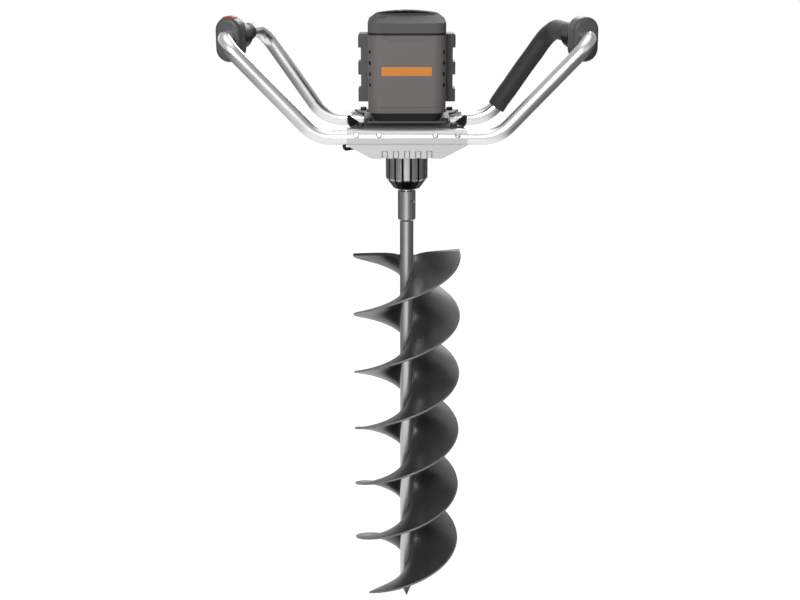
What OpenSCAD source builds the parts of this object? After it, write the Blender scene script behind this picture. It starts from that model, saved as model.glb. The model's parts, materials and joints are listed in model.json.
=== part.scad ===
// Hand-held battery earth auger.
// A double-start auger bit hangs under a two-stage planetary gearbox. A brushless
// motor and two battery packs stand on a plate that two bent handle tubes carry.
// Origin at the tip of the drill point, +Z up, X across the handles, front at -Y.

/* [Auger bit] */
// Diameter across the flights
flight_d = 200; // [150:5:250]
// Rise of one flight in a full turn, two flights in all
flight_lead = 228; // [180:4:280]
// Thickness of the flight plate
flight_t = 4; // [3:0.5:6]
// Height of the lower end of the flights
flight_bottom = 44; // [36:2:80]
// Height of the upper end of the flights
flight_top = 707; // [500:5:730]
// Direction of the first flight's upper end
flight_angle = 10; // [0:5:90]
// Diameter of the bit's shaft
bit_shaft_d = 25; // [22:0.5:28]
// Length of the drill point
point_h = 32; // [24:1:34]
// Outside diameter of the coupling collar
collar_d = 32.4; // [31:0.2:38]
// Height of the collar's lower end
collar_bottom = 767; // [750:1:775]
// Length of the collar
collar_h = 57; // [50:1:58]
// Diameter of the roll pin through the collar
cross_pin_d = 8; // [6:0.5:9]
// Height of the roll pin
cross_pin_z = 805; // [795:1:812]
// Direction of the roll pin, from +X
cross_pin_angle = -46.4; // [-90:0.2:0]

/* [Gearbox] */
// Height of the gear housing's lower face
gearbox_bottom = 829; // [828:1:832]
// Diameter over the cooling fins
gearbox_d = 76; // [74:1:82]
// Diameter of the lower face
gearbox_mouth_d = 48; // [46:1:52]
// Height of the tapered lower end
taper_h = 19; // [15:1:24]
// Number of cooling fins
fin_n = 16; // [12:1:20]
// Depth of the grooves between the fins
fin_depth = 4; // [2:0.5:5]
// Share of the pitch that a fin takes
fin_share = 0.74; // [0.5:0.02:0.85]
// Diameter of the output shaft
output_d = 20; // [18:0.5:21]
// Diameter of the gear housing's mounting flange
flange_d = 112; // [108:1:116]
// Thickness of the mounting flange
flange_h = 8; // [6:1:12]
// Tooth module of all gears
gear_module = 1; // [0.96:0.01:1.02]
// Face width of the second stage
stage2_w = 14; // [12:1:15]
// Face width of the first stage
stage1_w = 12; // [10:1:14]
// Diameter of the planet pins
planet_pin_d = 6; // [5:0.5:7]
// Cut between meshing teeth, at the pitch line
backlash = 0.16; // [0.12:0.02:0.2]

/* [Motor] */
// Outside diameter of the motor case
motor_d = 92; // [86:1:96]
// Height of the motor case
motor_h = 60; // [58:1:62]
// Outside diameter of the rotor
rotor_d = 45; // [40:1:48]
// Air gap between the rotor and the stator
air_gap = 0.8; // [0.5:0.1:1.2]
// Length of the laminated cores
core_h = 34; // [28:1:38]
// Diameter of the motor shaft
motor_shaft_d = 12; // [10:0.5:13]
// Diameter of the cooling fan
fan_d = 76; // [60:1:90]

/* [Handles] */
// Outside diameter of the handle tubes
tube_d = 25.4; // [24:0.1:27]
// Wall of the handle tubes
tube_wall = 2; // [1.5:0.1:3]
// Height of the tubes' middle at the plates
tube_z = 938.5; // [936:0.5:942]
// Distance of the tubes in front of and behind the bit's axis
tube_y = 113; // [110:1:118]
// Where the front arm starts to rise
front_bend_x = 156; // [140:1:170]
// Where the rear arm starts to rise
rear_bend_x = 153; // [140:1:170]
// Front corner of the grip, from the middle
grip_front_x = 315; // [300:1:330]
// Rear corner of the grip, from the middle
grip_rear_x = 268; // [255:1:285]
// Height of the grips
grip_z = 1105; // [1080:1:1130]
// Radius of the lower bends
lower_bend_r = 65; // [50:1:75]
// Radius of the bends in front of the grips
front_corner_r = 30; // [26:1:34]
// Radius of the bends behind the grips
upper_bend_r = 40; // [34:1:42]
// Thickness of the saddle plates
saddle_t = 2; // [1.5:0.25:3]
// Length of the saddle plates
saddle_w = 206; // [200:1:216]
// Height of the saddles' lower edge
saddle_bottom = 903.3; // [898:0.1:910]

/* [Grips] */
// Width of the control housings
control_w = 45; // [42:1:50]
// Height of the control housings
control_h = 76; // [72:1:80]
// Length of the control housings along the grip
control_l = 34; // [30:1:36]
// Diameter of the grip bodies
grip_w = 47; // [44:0.5:50]
// Length of the grip bodies
grip_l = 36; // [34:1:40]
// Width of the trigger
trigger_w = 26; // [20:1:27]
// Angle that the trigger swings
trigger_swing = 4; // [2:0.5:4]
// Travel of the lock button
button_travel = 2.5; // [1.5:0.5:3]
// Diameter of the foam sleeve
foam_d = 35; // [32:0.5:40]
// Diameter of the rubber sleeves behind the grips
sleeve_d = 31; // [29:0.5:34]
// Length of the left rubber sleeve
left_sleeve_l = 67.6; // [40:0.2:80]
// Length of the right rubber sleeve
right_sleeve_l = 15.6; // [10:0.2:30]

/* [Power head] */
// Width of the housing
body_w = 135.6; // [132:0.4:142]
// Depth of the housing
body_d = 149.6; // [146:0.4:156]
// Corner radius of the housing
body_r = 22; // [18:1:24]
// Wall of the plastic shells
shell_t = 3; // [2.5:0.25:3.5]
// Height of the housing's shells
body_h = 135; // [134:1:140]
// How far the front and rear panels stand proud
panel_t = 1.2; // [0.8:0.1:2]
// How far a side cover stands out from the housing's side
cover_out = 17.9; // [15:0.1:19]
// Depth of the side covers
cover_d = 40; // [34:1:60]
// Height of the lid's upright rim
lid_rim_h = 18; // [14:1:22]
// Height of the lid's slopes
lid_slope_h = 12.6; // [9:0.1:14]
// Width of the lid's side slopes
lid_slope_w = 13.5; // [11:0.5:16]
// Depth of the lid's flat ridge
lid_ridge_d = 26; // [20:1:40]
// Rise of the lid's crowned top
crown_h = 4.9; // [3:0.1:6]
// Thickness of the base plate
base_t = 3; // [2.5:0.25:4]
// Thickness of the adapter plate
adapter_t = 3; // [2.5:0.25:4]
// Height of the skirt under the housing
skirt_h = 14.8; // [12:0.2:18]
// Height of a battery pack
pack_h = 62; // [56:1:62]

/* [Fits] */
// Radial clearance of running fits
run_fit = 0.05; // [0.02:0.01:0.08]
// Clearance around pieces that slide in pockets
slide_fit = 0.4; // [0.3:0.05:0.5]
// Gap between faces that turn past each other
face_gap = 0.4; // [0.3:0.05:0.6]

/* [Hidden] */
$fn = 64;
eps = 0.01;

// Lap and swell of a bent bar's bends
bend_lap = 0.6;
bend_swell = 0.06;

// Angle of one step along a flight
flight_step = 7.5;
// Sweep of each flight
flight_sweep = 360 * (flight_top - flight_bottom) / flight_lead;
// Clearance between a flight and the shaft that it is welded to
weld_gap = 0.02;

// Gear geometry: teeth, pressure angle, tooth heights and centre distance
sun_teeth = 12;
planet_teeth = 18;
pressure_angle = 25;
addendum = 0.86 * gear_module;
dedendum = 1.1 * gear_module;
ring_teeth = sun_teeth + 2 * planet_teeth;
planet_r = gear_module * (sun_teeth + planet_teeth) / 2;
ring_od = gear_module * ring_teeth + 10;

// Gearbox stack, from the bottom
seal_h = 7;
seal_d = 35;
bearing_h = 12;
bearing_d = 42;
lower_bearing_z = gearbox_bottom + 1 + seal_h;
upper_bearing_z = lower_bearing_z + bearing_h + 18;
carrier_t = 5;
carrier_d = 42;
carrier2_z = upper_bearing_z + bearing_h + 3;
stage2_z = carrier2_z + carrier_t + face_gap;
carrier1_z = stage2_z + stage2_w + 1.6;
stage1_z = carrier1_z + carrier_t + face_gap;
ring_z = carrier2_z + carrier_t - 1;
ring_h = stage1_z + stage1_w + 2 - ring_z;
gearbox_cover_h = 10;
input_bearing_d = 28;
input_bearing_h = 8;

// Plates under the power head, from the tubes' top
saddle_top = tube_z + tube_d / 2 + saddle_t;
base_z = saddle_top;
adapter_z = base_z + base_t;
skirt_z = adapter_z + adapter_t;
body_z = skirt_z + skirt_h;
body_top = body_z + body_h;
lid_gap = 0.8;
lid_z = body_top + lid_gap;
lid_top = lid_z + lid_rim_h + lid_slope_h;

// Motor stack, and the clearance round its shaft where it passes a plate
slot_n = 12;
shaft_gap = 7;
motor_z = adapter_z;
bell_t = 6;
core_z = motor_z + bell_t + (motor_h - 2 * bell_t - core_h) / 2;
motor_top = motor_z + motor_h;
fan_z = motor_top + 2;
fan_h = 8;
tray_z = fan_z + fan_h + 5;
tray_t = 3;
pack_z = tray_z + tray_t;
pack_gap = 6;
pack_side_gap = 5.5;
pack_end_gap = 10.8;
pack_w = (body_w - 2 * shell_t - pack_gap) / 2 - pack_side_gap;
pack_d = body_d - 2 * shell_t - 2 * pack_end_gap;
pack_pitch = pack_w + pack_gap;

// Handle paths, left hand side, from the front end to the rear end
tube_end_x = 30;
front_path = [
    [-tube_end_x, -tube_y, tube_z], [-front_bend_x, -tube_y, tube_z],
    [-grip_front_x, -tube_y, grip_z], [-grip_rear_x, tube_y, grip_z],
    [-rear_bend_x, tube_y, tube_z], [-tube_end_x, tube_y, tube_z]
];
path_r = [0, lower_bend_r, front_corner_r, upper_bend_r, lower_bend_r, 0];

// Grip frame: its middle, where the local Y axis runs along the grip to the rear
grip_mid = [-(grip_front_x + grip_rear_x) / 2, 0, grip_z];
grip_turn = atan2(grip_front_x - grip_rear_x, 2 * tube_y);
grip_half_l = norm([grip_front_x - grip_rear_x, 2 * tube_y]) / 2;
// Front face of the control housing and of the grip body along the grip
control_y = -78;
control_drop = 4.8;
grip_y = control_y + control_l + face_gap;
grip_drop = 2.5;
// Neck of the grip body in its socket in the control housing
neck_d = 36;
neck_l = 2;
// Trigger: a wide paddle with a narrow lug on its pin, and how far its front end rises
trigger_y = [grip_y + 4, grip_y + grip_l - 4];
trigger_top = -(tube_d / 2 + 6.8);
trigger_t = 8.4;
trigger_lug_w = 10;
trigger_pin_d = 4;
trigger_pin_y = trigger_y[1] - 5;
trigger_pin_z = -(tube_d / 2 + 5.8);
trigger_paddle_end = trigger_pin_y - 7;
trigger_rise = (trigger_pin_y - trigger_y[0]) * sin(trigger_swing);
button_w = 21;
button_l = 15;
button_y = control_y + control_l / 2 - 2;
button_top = control_h / 2 - control_drop + 1.8;
button_foot = tube_d / 2 + button_travel + 1.2;
spring_d = 7;
spring_wire = 0.9;
spring_turns = 5;
// Switch, and its lever that the raised trigger reaches
switch_size = [14, 16, 10];
switch_y = control_y + 4;
switch_z = -(tube_d / 2 + 13.3);
lever_x = 4;
lever_w = 3;
lever_t = 1;
lever_z = trigger_top + trigger_rise + 0.3;

// Control cable: where it enters and leaves the left tube
cable_d = 6;
cable_hole_d = 9;
cable_in_y = switch_y + switch_size[1] + 6;
cable_switch_z = switch_z + switch_size[2] / 2;
cable_out_x = 108;
cable_low_z = tube_z - tube_d / 2 - 8;
cable_up = [-46, -52];

// Saddle plate features
web_t = saddle_t;
web_y = tube_y + 8;
web_taper_x = 60.5;
web_taper_z = tube_z - 13;
notch_n = 5;
notch_w = 9.6;
notch_h = 13;
notch_pitch = 19.2;
saddle_screw_x = [-86.5, -48, 48, 86.5];
saddle_screw_angle = 23;
saddle_screw_d = 5;
saddle_head_d = 10;
flange_in = 17;

// Base plate features
base_half = [97, 104];
base_waist = [66, 50];
ear_foot = [[-97.5, -95], [-84.6, -61]];
ear_h = 20;
ear_lean = 22;
base_bolt_xy = [80, 100];
adapter_half = [76, 64.8];
adapter_bolt_xy = [67, 57.5];
// Diameter and height of the room for a bolt's head under the skirt
bolt_room = [16, 6];
flange_bolt_n = 6;
flange_bolt_r = flange_d / 2 - 8;
flange_bolt_d = 6;

// Front panel and side cover features
panel_w = 121;
panel_r = 12;
panel_lift = 10.5;
panel_drop = 5;
pull_w = [79, 60];
pull_h = 9;
pull_drop = 2.5;
pull_depth = 2.4;
cover_w = body_w + 2 * cover_out;
cover_r = 4;
cover_lift = 13.5;
cover_drop = 3.3;
cover_end = 4;
band_gap = [[36.9, 60.8], [83.4, 107.8]];
band_depth = 4.8;
band_chamfer = 1;
vent_w = 4;
vent_pitch = 10;
vent_n = floor((cover_d - 2 * cover_end) / vent_pitch);
vent_h = 13;

// Screws in the housing's rounded corners, which point outwards from the corner's middle
screw_turn = 58;
screw_hole_d = 7.4;
screw_hole_z = [48, 67, 85.7, 104.5];
screw_hole_depth = 2;

// Lid hinge
knuckle_d = 9;
hinge_y = body_d / 2 + panel_t + knuckle_d / 2 + face_gap;
hinge_z = body_top - knuckle_d / 2 - 0.6;
knuckle_l = 16;
hinge_pin_d = 4;
hinge_span = 62;

// Slot in the lid's front slope, from corner to corner, and the crown's outline
lid_slot = [[-47.7, -42], [-33.8, -32]];
lid_slot_depth = 1.2;
crown_size = [104, 34];

function unit(v) = v / norm(v);

// Angle by which path p turns at corner i
function turn(p, i) = acos(unit(p[i] - p[i - 1]) * unit(p[i + 1] - p[i]));

// Length that a bend of radius r takes from each leg of corner i
function setback(p, i, r) = r * tan(turn(p, i) / 2);

// A point on the leg from a to b at the given distance from a
function along_leg(a, b, far) = a + unit(b - a) * far;

// Half of a tooth's angle at radius r, from the angle at the pitch circle
function inv_angle(c) = tan(c) * 180 / PI - c;
function half_tooth(r, base_r, half_pitch) =
    half_pitch + inv_angle(pressure_angle) - inv_angle(acos(min(1, base_r / r)));

// Outline of a spur gear with involute flanks
function gear_outline(teeth, outer, root, play) =
    let (
        pitch_r = teeth * gear_module / 2,
        base_r = pitch_r * cos(pressure_angle),
        half_pitch = 90 / teeth - play / (2 * pitch_r) * 180 / PI / 2,
        low = max(base_r, root),
        radii = [root, for (k = [0 : 4]) low + (outer - low) * k / 4],
        halves = [for (r = radii) half_tooth(max(r, low), base_r, half_pitch)]
    )
    [for (i = [0 : teeth - 1])
        for (s = [0, 1])
            for (k = [0 : 5])
                let (j = s == 0 ? k : 5 - k, a = 360 * i / teeth + (s == 0 ? -1 : 1) * halves[j])
                radii[j] * [cos(a), sin(a)]];

// Skin over rings of points that all run the same way
module skin(rings) {
    n = len(rings[0]);
    last = len(rings) - 1;
    points = [for (ring = rings) for (p = ring) p];
    sides = [for (k = [0 : last - 1])
        for (j = [0 : n - 1])
            let (a = k * n + j, b = k * n + (j + 1) % n)
            for (face = [[a, b, b + n], [a, b + n, a + n]]) face];
    polyhedron(points, concat([[for (j = [n - 1 : -1 : 0]) j]], sides,
        [[for (j = [0 : n - 1]) last * n + j]]));
}

// Children on a frame with origin o, x axis u and y axis v
module on_frame(o, u, v) {
    w = cross(u, v);
    multmatrix([[u.x, v.x, w.x, o.x], [u.y, v.y, w.y, o.y], [u.z, v.z, w.z, o.z], [0, 0, 0, 1]])
        children();
}

module annulus(od, id) {
    difference() {
        circle(d = od);
        if (id > 0) circle(d = id);
    }
}

module ring(od, id, h) {
    linear_extrude(h) annulus(od, id);
}

// Round bar along the points p, with the bend radii r. Each leg laps into its bends,
// which are a hair thicker, and the bar runs on past both ends by the given length
module bent_bar(p, r, d, past = 0) {
    last = len(p) - 1;
    for (i = [0 : last - 1]) {
        leg = unit(p[i + 1] - p[i]);
        side = unit(cross(leg, abs(leg.z) < 0.9 ? [0, 0, 1] : [1, 0, 0]));
        from = i == 0 ? -past : setback(p, i, r[i]) - bend_lap;
        to = norm(p[i + 1] - p[i])
            + (i + 1 == last ? past : bend_lap - setback(p, i + 1, r[i + 1]));
        on_frame(p[i] + leg * from, side, cross(leg, side))
            cylinder(d = d, h = to - from);
    }
    if (last > 1) for (i = [1 : last - 1]) {
        before = unit(p[i] - p[i - 1]);
        after = unit(p[i + 1] - p[i]);
        inward = unit(after - before * (before * after));
        centre = p[i] - before * setback(p, i, r[i]) + inward * r[i];
        on_frame(centre, -inward, before)
            rotate_extrude(angle = turn(p, i))
                translate([r[i], 0])
                    circle(d = d + 2 * bend_swell);
    }
}

module bent_tube(p, r, od, id) {
    difference() {
        bent_bar(p, r, od);
        bent_bar(p, r, id, past = 1);
    }
}

// Rectangle with round corners, centred
module rounded(x, y, r) {
    square([x - 2 * r, y], center = true);
    square([x, y - 2 * r], center = true);
    for (sx = [-1, 1]) for (sy = [-1, 1])
        translate([sx * (x / 2 - r), sy * (y / 2 - r)])
            circle(r = r);
}

// Children at the four corners of a rectangle
module at_corners(half) {
    for (sx = [-1, 1]) for (sy = [-1, 1])
        translate([sx * half[0], sy * half[1], 0])
            children();
}

// Children in the left grip's frame, or mirrored for the right grip
module at_grip(right = false) {
    mirror([right ? 1 : 0, 0, 0])
        translate(grip_mid)
            rotate([0, 0, -grip_turn])
                children();
}

// Upright outline in a grip's frame, pushed along the grip from y0 by l
module along_grip(y0, l) {
    translate([0, y0 + l, 0])
        rotate([90, 0, 0])
            linear_extrude(l)
                children();
}

// Outline in a grip's side view, pushed across the grip by w
module across_grip(w) {
    translate([-w / 2, 0, 0])
        rotate([90, 0, 90])
            linear_extrude(w)
                children();
}

// Plate in the front view's plane, from depth y0 to y1
module front_plate(y0, y1) {
    translate([0, y1, 0])
        rotate([90, 0, 0])
            linear_extrude(y1 - y0)
                children();
}

// Deep groove ball bearing as one ring with its shield grooves
module bearing(od, id, h, z) {
    translate([0, 0, z])
        difference() {
            ring(od, id + 2 * run_fit, h);
            for (s = [-eps, h - 0.8])
                translate([0, 0, s])
                    ring(od - (od - id) * 0.3, id + (od - id) * 0.3, 0.8 + eps);
        }
}

module flight(angle) {
    steps = ceil(flight_sweep / flight_step);
    step = flight_sweep / steps;
    inner = (bit_shaft_d / 2 + weld_gap) / cos(step / 2);
    radii = [for (k = [0 : 3]) inner + (flight_d / 2 - inner) * k * (k + 1) / 12];
    half = [for (r = radii) flight_t / 2 * sqrt(1 + pow(flight_lead / (2 * PI * r), 2))];
    skin([for (i = [0 : steps])
        let (a = angle - flight_sweep + i * step, z = flight_bottom + flight_lead * i * step / 360)
        [for (j = [0 : 7])
            let (k = j < 4 ? j : 7 - j, side = j < 4 ? -1 : 1)
            [radii[k] * cos(a), radii[k] * sin(a), z + side * half[k]]]]);
}

module flight_a() {
    color("#2b2b2c") flight(flight_angle);
}

module flight_b() {
    color("#2b2b2c") flight(flight_angle + 180);
}

module bit_shaft() {
    spigot_h = 5;
    color("#555557") {
        translate([0, 0, point_h]) cylinder(d = bit_shaft_d, h = collar_bottom - point_h);
        translate([0, 0, collar_bottom]) cylinder(d = output_d, h = spigot_h);
    }
}

module drill_point() {
    color("#4a4a4c") cylinder(d1 = 0, d2 = bit_shaft_d, h = point_h);
}

module collar() {
    chamfer = 4;
    lip_r = bit_shaft_d / 2 - 0.5;
    color("#6a6a6c")
        difference() {
            rotate_extrude()
                polygon([
                    [0, collar_bottom], [lip_r, collar_bottom],
                    [collar_d / 2, collar_bottom + chamfer],
                    [collar_d / 2, collar_bottom + collar_h - 1],
                    [collar_d / 2 - 1, collar_bottom + collar_h],
                    [0, collar_bottom + collar_h]
                ]);
            translate([0, 0, collar_bottom - 1]) cylinder(d = output_d, h = collar_h + 2);
            cross_pin_hole();
        }
}

module cross_pin_hole() {
    translate([0, 0, cross_pin_z])
        rotate([0, 90, cross_pin_angle])
            cylinder(d = cross_pin_d, h = collar_d + 2, center = true);
}

module cross_pin() {
    recess = 1.5;
    color("#2a2a2a")
        translate([0, 0, cross_pin_z])
            rotate([0, 90, cross_pin_angle])
                difference() {
                    cylinder(d = cross_pin_d, h = collar_d - 2 * recess, center = true);
                    cylinder(d = cross_pin_d - 3, h = collar_d, center = true);
                }
}

module output_shaft() {
    foot = collar_bottom + 7;
    color("#8a8a8c")
        difference() {
            union() {
                translate([0, 0, foot]) cylinder(d = output_d, h = carrier2_z - foot + eps);
                translate([0, 0, carrier2_z - 2]) cylinder(d = output_d + 6, h = 2 + eps);
                translate([0, 0, carrier2_z]) cylinder(d = carrier_d, h = carrier_t);
            }
            cross_pin_hole();
            planet_pin_places() planet_pin_hole(carrier2_z);
        }
}

module planet_pin_places() {
    for (i = [0 : 2])
        rotate([0, 0, 120 * i])
            translate([planet_r, 0, 0])
                children();
}

module planet_pin_hole(z) {
    translate([0, 0, z - 1]) cylinder(d = planet_pin_d, h = carrier_t + 2);
}

module planet_pins(z, w) {
    color("#9a9a9c")
        planet_pin_places()
            translate([0, 0, z]) cylinder(d = planet_pin_d, h = carrier_t + face_gap + w + 0.6);
}

// Planet gear number i of the stage whose teeth start at height z
module planet(i, z, w) {
    color("#a0a0a2")
        rotate([0, 0, 120 * (i - 1)])
            translate([planet_r, 0, z])
                linear_extrude(w)
                    difference() {
                        rotate(180 / planet_teeth)
                            polygon(gear_outline(planet_teeth, planet_teeth * gear_module / 2 + addendum,
                                planet_teeth * gear_module / 2 - dedendum, backlash));
                        circle(d = planet_pin_d + 2 * run_fit);
                    }
}

module sun(z, w) {
    pitch = sun_teeth * gear_module / 2;
    translate([0, 0, z])
        linear_extrude(w)
            polygon(gear_outline(sun_teeth, pitch + addendum, pitch - dedendum, backlash));
}

module second_planet_pins() {
    planet_pins(carrier2_z, stage2_w);
}

module second_planet_1() {
    planet(1, stage2_z, stage2_w);
}

module second_planet_2() {
    planet(2, stage2_z, stage2_w);
}

module second_planet_3() {
    planet(3, stage2_z, stage2_w);
}

module first_carrier() {
    color("#8a8a8c") {
        difference() {
            translate([0, 0, carrier1_z]) cylinder(d = carrier_d, h = carrier_t);
            planet_pin_places() planet_pin_hole(carrier1_z);
        }
        sun(stage2_z, carrier1_z - stage2_z + eps);
    }
}

module first_planet_pins() {
    planet_pins(carrier1_z, stage1_w);
}

module first_planet_1() {
    planet(1, stage1_z, stage1_w);
}

module first_planet_2() {
    planet(2, stage1_z, stage1_w);
}

module first_planet_3() {
    planet(3, stage1_z, stage1_w);
}

module ring_gear() {
    pitch = ring_teeth * gear_module / 2;
    color("#7c7c7e")
        translate([0, 0, ring_z])
            linear_extrude(ring_h)
                difference() {
                    circle(d = ring_od);
                    rotate(180 / ring_teeth)
                        polygon(gear_outline(ring_teeth, pitch + dedendum, pitch - addendum, -backlash));
                }
}

// Profile of the gear housing's outside, shrunk by the given depth
module barrel(shrink) {
    rotate_extrude()
        polygon([
            [0, gearbox_bottom], [gearbox_mouth_d / 2 - shrink, gearbox_bottom],
            [gearbox_d / 2 - shrink, gearbox_bottom + taper_h],
            [gearbox_d / 2 - shrink, base_z], [0, base_z]
        ]);
}

module gear_housing() {
    fin_angle = 360 / fin_n * fin_share / 2;
    fin_in = ring_od / 4;
    fin_out = gearbox_d;
    color("#8c8d90")
        difference() {
            union() {
                barrel(fin_depth);
                intersection() {
                    barrel(0);
                    translate([0, 0, gearbox_bottom])
                        linear_extrude(base_z - gearbox_bottom)
                            for (i = [0 : fin_n - 1])
                                rotate(i * 360 / fin_n - 90)
                                    polygon([
                                        [fin_in, -fin_in * tan(fin_angle)],
                                        [fin_out, -fin_out * tan(fin_angle)],
                                        [fin_out, fin_out * tan(fin_angle)],
                                        [fin_in, fin_in * tan(fin_angle)]
                                    ]);
                }
                translate([0, 0, base_z - flange_h]) cylinder(d = flange_d, h = flange_h);
            }
            translate([0, 0, gearbox_bottom - 1]) cylinder(d = seal_d, h = seal_h + 2.5);
            translate([0, 0, lower_bearing_z])
                cylinder(d = bearing_d, h = carrier2_z - 2 - lower_bearing_z);
            translate([0, 0, upper_bearing_z + bearing_h])
                cylinder(d = ring_od, h = base_z - upper_bearing_z);
            flange_bolt_places()
                translate([0, 0, base_z - flange_h - 1]) cylinder(d = flange_bolt_d, h = flange_h + 2);
        }
}

module flange_bolt_places() {
    for (i = [0 : flange_bolt_n - 1])
        rotate([0, 0, (i + 0.5) * 360 / flange_bolt_n])
            translate([flange_bolt_r, 0, 0])
                children();
}

module flange_bolts() {
    head_h = 4;
    color("#3a3a3c")
        flange_bolt_places() {
            translate([0, 0, base_z - flange_h - head_h])
                cylinder(d = flange_bolt_d + 4, h = head_h, $fn = 6);
            translate([0, 0, base_z - flange_h - eps])
                cylinder(d = flange_bolt_d, h = flange_h + base_t);
        }
}

module gearbox_cover() {
    cover_z = ring_z + ring_h;
    rim_h = base_z - cover_z;
    color("#8c8d90")
        difference() {
            translate([0, 0, cover_z]) cylinder(d = ring_od, h = rim_h);
            translate([0, 0, cover_z + gearbox_cover_h])
                cylinder(d = ring_od - 8, h = rim_h);
            translate([0, 0, cover_z - 1])
                cylinder(d = motor_shaft_d + 4, h = gearbox_cover_h + 2);
            translate([0, 0, cover_z + gearbox_cover_h - input_bearing_h])
                cylinder(d = input_bearing_d, h = input_bearing_h + 1);
        }
}

module lower_bearing() {
    color("#b9bbbe") bearing(bearing_d, output_d, bearing_h, lower_bearing_z);
}

module upper_bearing() {
    color("#b9bbbe") bearing(bearing_d, output_d, bearing_h, upper_bearing_z);
}

module oil_seal() {
    color("#1d1d1d")
        translate([0, 0, gearbox_bottom])
            ring(seal_d, output_d + 2 * run_fit, seal_h);
}

module input_bearing() {
    color("#b9bbbe")
        bearing(input_bearing_d, motor_shaft_d, input_bearing_h,
            ring_z + ring_h + gearbox_cover_h - input_bearing_h);
}

module motor_shaft() {
    neck_z = ring_z + ring_h + 1;
    color("#b0b2b5") {
        translate([0, 0, neck_z]) cylinder(d = motor_shaft_d, h = fan_z + fan_h - neck_z);
        sun(stage1_z + face_gap, neck_z - stage1_z - face_gap + eps);
    }
}

module rotor() {
    magnet_n = 8;
    color("#3b3d42")
        translate([0, 0, core_z])
            linear_extrude(core_h)
                difference() {
                    circle(d = rotor_d);
                    circle(d = motor_shaft_d);
                    for (i = [0 : magnet_n - 1])
                        rotate(i * 360 / magnet_n)
                            translate([rotor_d / 2 - 5, 0])
                                square([3, rotor_d / 4], center = true);
                }
}

module cooling_fan() {
    blade_n = 11;
    hub_d = motor_shaft_d + 10;
    color("#26282c")
        translate([0, 0, fan_z])
            difference() {
                union() {
                    cylinder(d = hub_d, h = fan_h);
                    cylinder(d = fan_d, h = 2);
                    for (i = [0 : blade_n - 1])
                        rotate([0, 0, i * 360 / blade_n])
                            translate([hub_d / 2 - 1, -0.8, 1])
                                rotate([0, 0, 12])
                                    cube([(fan_d - hub_d) / 2 - 2, 1.6, fan_h - 1]);
                }
                translate([0, 0, -1]) cylinder(d = motor_shaft_d, h = fan_h + 2);
            }
}

module stator() {
    stator_od = motor_d - 6;
    yoke = 7;
    tooth_w = 6;
    shoe_d = rotor_d + 2 * air_gap;
    color("#4c4f55")
        translate([0, 0, core_z])
            linear_extrude(core_h)
                difference() {
                    union() {
                        annulus(stator_od, stator_od - 2 * yoke);
                        annulus(shoe_d + 5, shoe_d);
                        for (i = [0 : slot_n - 1])
                            rotate(i * 360 / slot_n)
                                translate([shoe_d / 2 + 1, -tooth_w / 2])
                                    square([stator_od / 2 - yoke - shoe_d / 2, tooth_w]);
                    }
                    for (i = [0 : slot_n - 1])
                        rotate((i + 0.5) * 360 / slot_n)
                            translate([shoe_d / 2, 0])
                                square([14, 2], center = true);
                }
}

module windings() {
    coil_l = (motor_d - rotor_d) / 2 - 3 - 7 - air_gap - 4;
    coil_w = 9.4;
    end_turn = 3.5;
    color("#b5652a")
        for (i = [0 : slot_n - 1])
            rotate([0, 0, i * 360 / slot_n])
                translate([rotor_d / 2 + air_gap + 3, 0, core_z - end_turn])
                    difference() {
                        translate([0, -coil_w / 2, 0]) cube([coil_l, coil_w, core_h + 2 * end_turn]);
                        translate([-1, -3, end_turn]) cube([coil_l + 2, 6, core_h]);
                    }
}

module motor_case() {
    vents = 8;
    color("#6d7076")
        difference() {
            translate([0, 0, motor_z]) cylinder(d = motor_d, h = motor_h);
            translate([0, 0, motor_z + bell_t])
                cylinder(d = motor_d - 6, h = motor_h - 2 * bell_t);
            translate([0, 0, motor_z - 1]) cylinder(d = motor_shaft_d + 2 * shaft_gap, h = bell_t + 2);
            translate([0, 0, motor_top - bell_t - 1])
                cylinder(d = motor_shaft_d + 6, h = bell_t + 2);
            translate([0, 0, motor_top - input_bearing_h + 2])
                cylinder(d = input_bearing_d, h = input_bearing_h);
            for (i = [0 : vents - 1])
                rotate([0, 0, (i + 0.5) * 360 / vents])
                    translate([rotor_d / 2 + 8, -4, motor_top - bell_t - 1])
                        cube([8, 8, bell_t + 2]);
        }
}

module motor_bearing() {
    color("#b9bbbe")
        bearing(input_bearing_d, motor_shaft_d, input_bearing_h - 2, motor_top - input_bearing_h + 2);
}

module base_outline() {
    polygon([for (s = [[-1, -1], [1, -1], [1, 1], [-1, 1]])
        let (
            far = [s[0] * base_half[0], s[1] * base_half[1]],
            mid = [s[0] * (base_half[0] - 12), s[1] * (base_half[1] - 40)],
            waist = [s[0] * base_waist[0], s[1] * base_waist[1]]
        )
        for (p = s[0] * s[1] > 0 ? [waist, mid, far] : [far, mid, waist]) p]);
}

// Turned-up corner flange on the left front edge of the base plate
module ear() {
    foot = [for (p = ear_foot) [p[0], p[1], base_z]];
    run = unit(foot[1] - foot[0]);
    out = cross([0, 0, 1], run);
    up = [0, 0, cos(ear_lean)] + out * sin(ear_lean);
    foot_l = norm(foot[1] - foot[0]);
    on_frame(foot[0], run, up)
        linear_extrude(base_t)
            polygon([[0, 0], [-4, 3], [-6, 9], [2, ear_h], [8, ear_h], [foot_l, base_t], [foot_l, 0]]);
}

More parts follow.
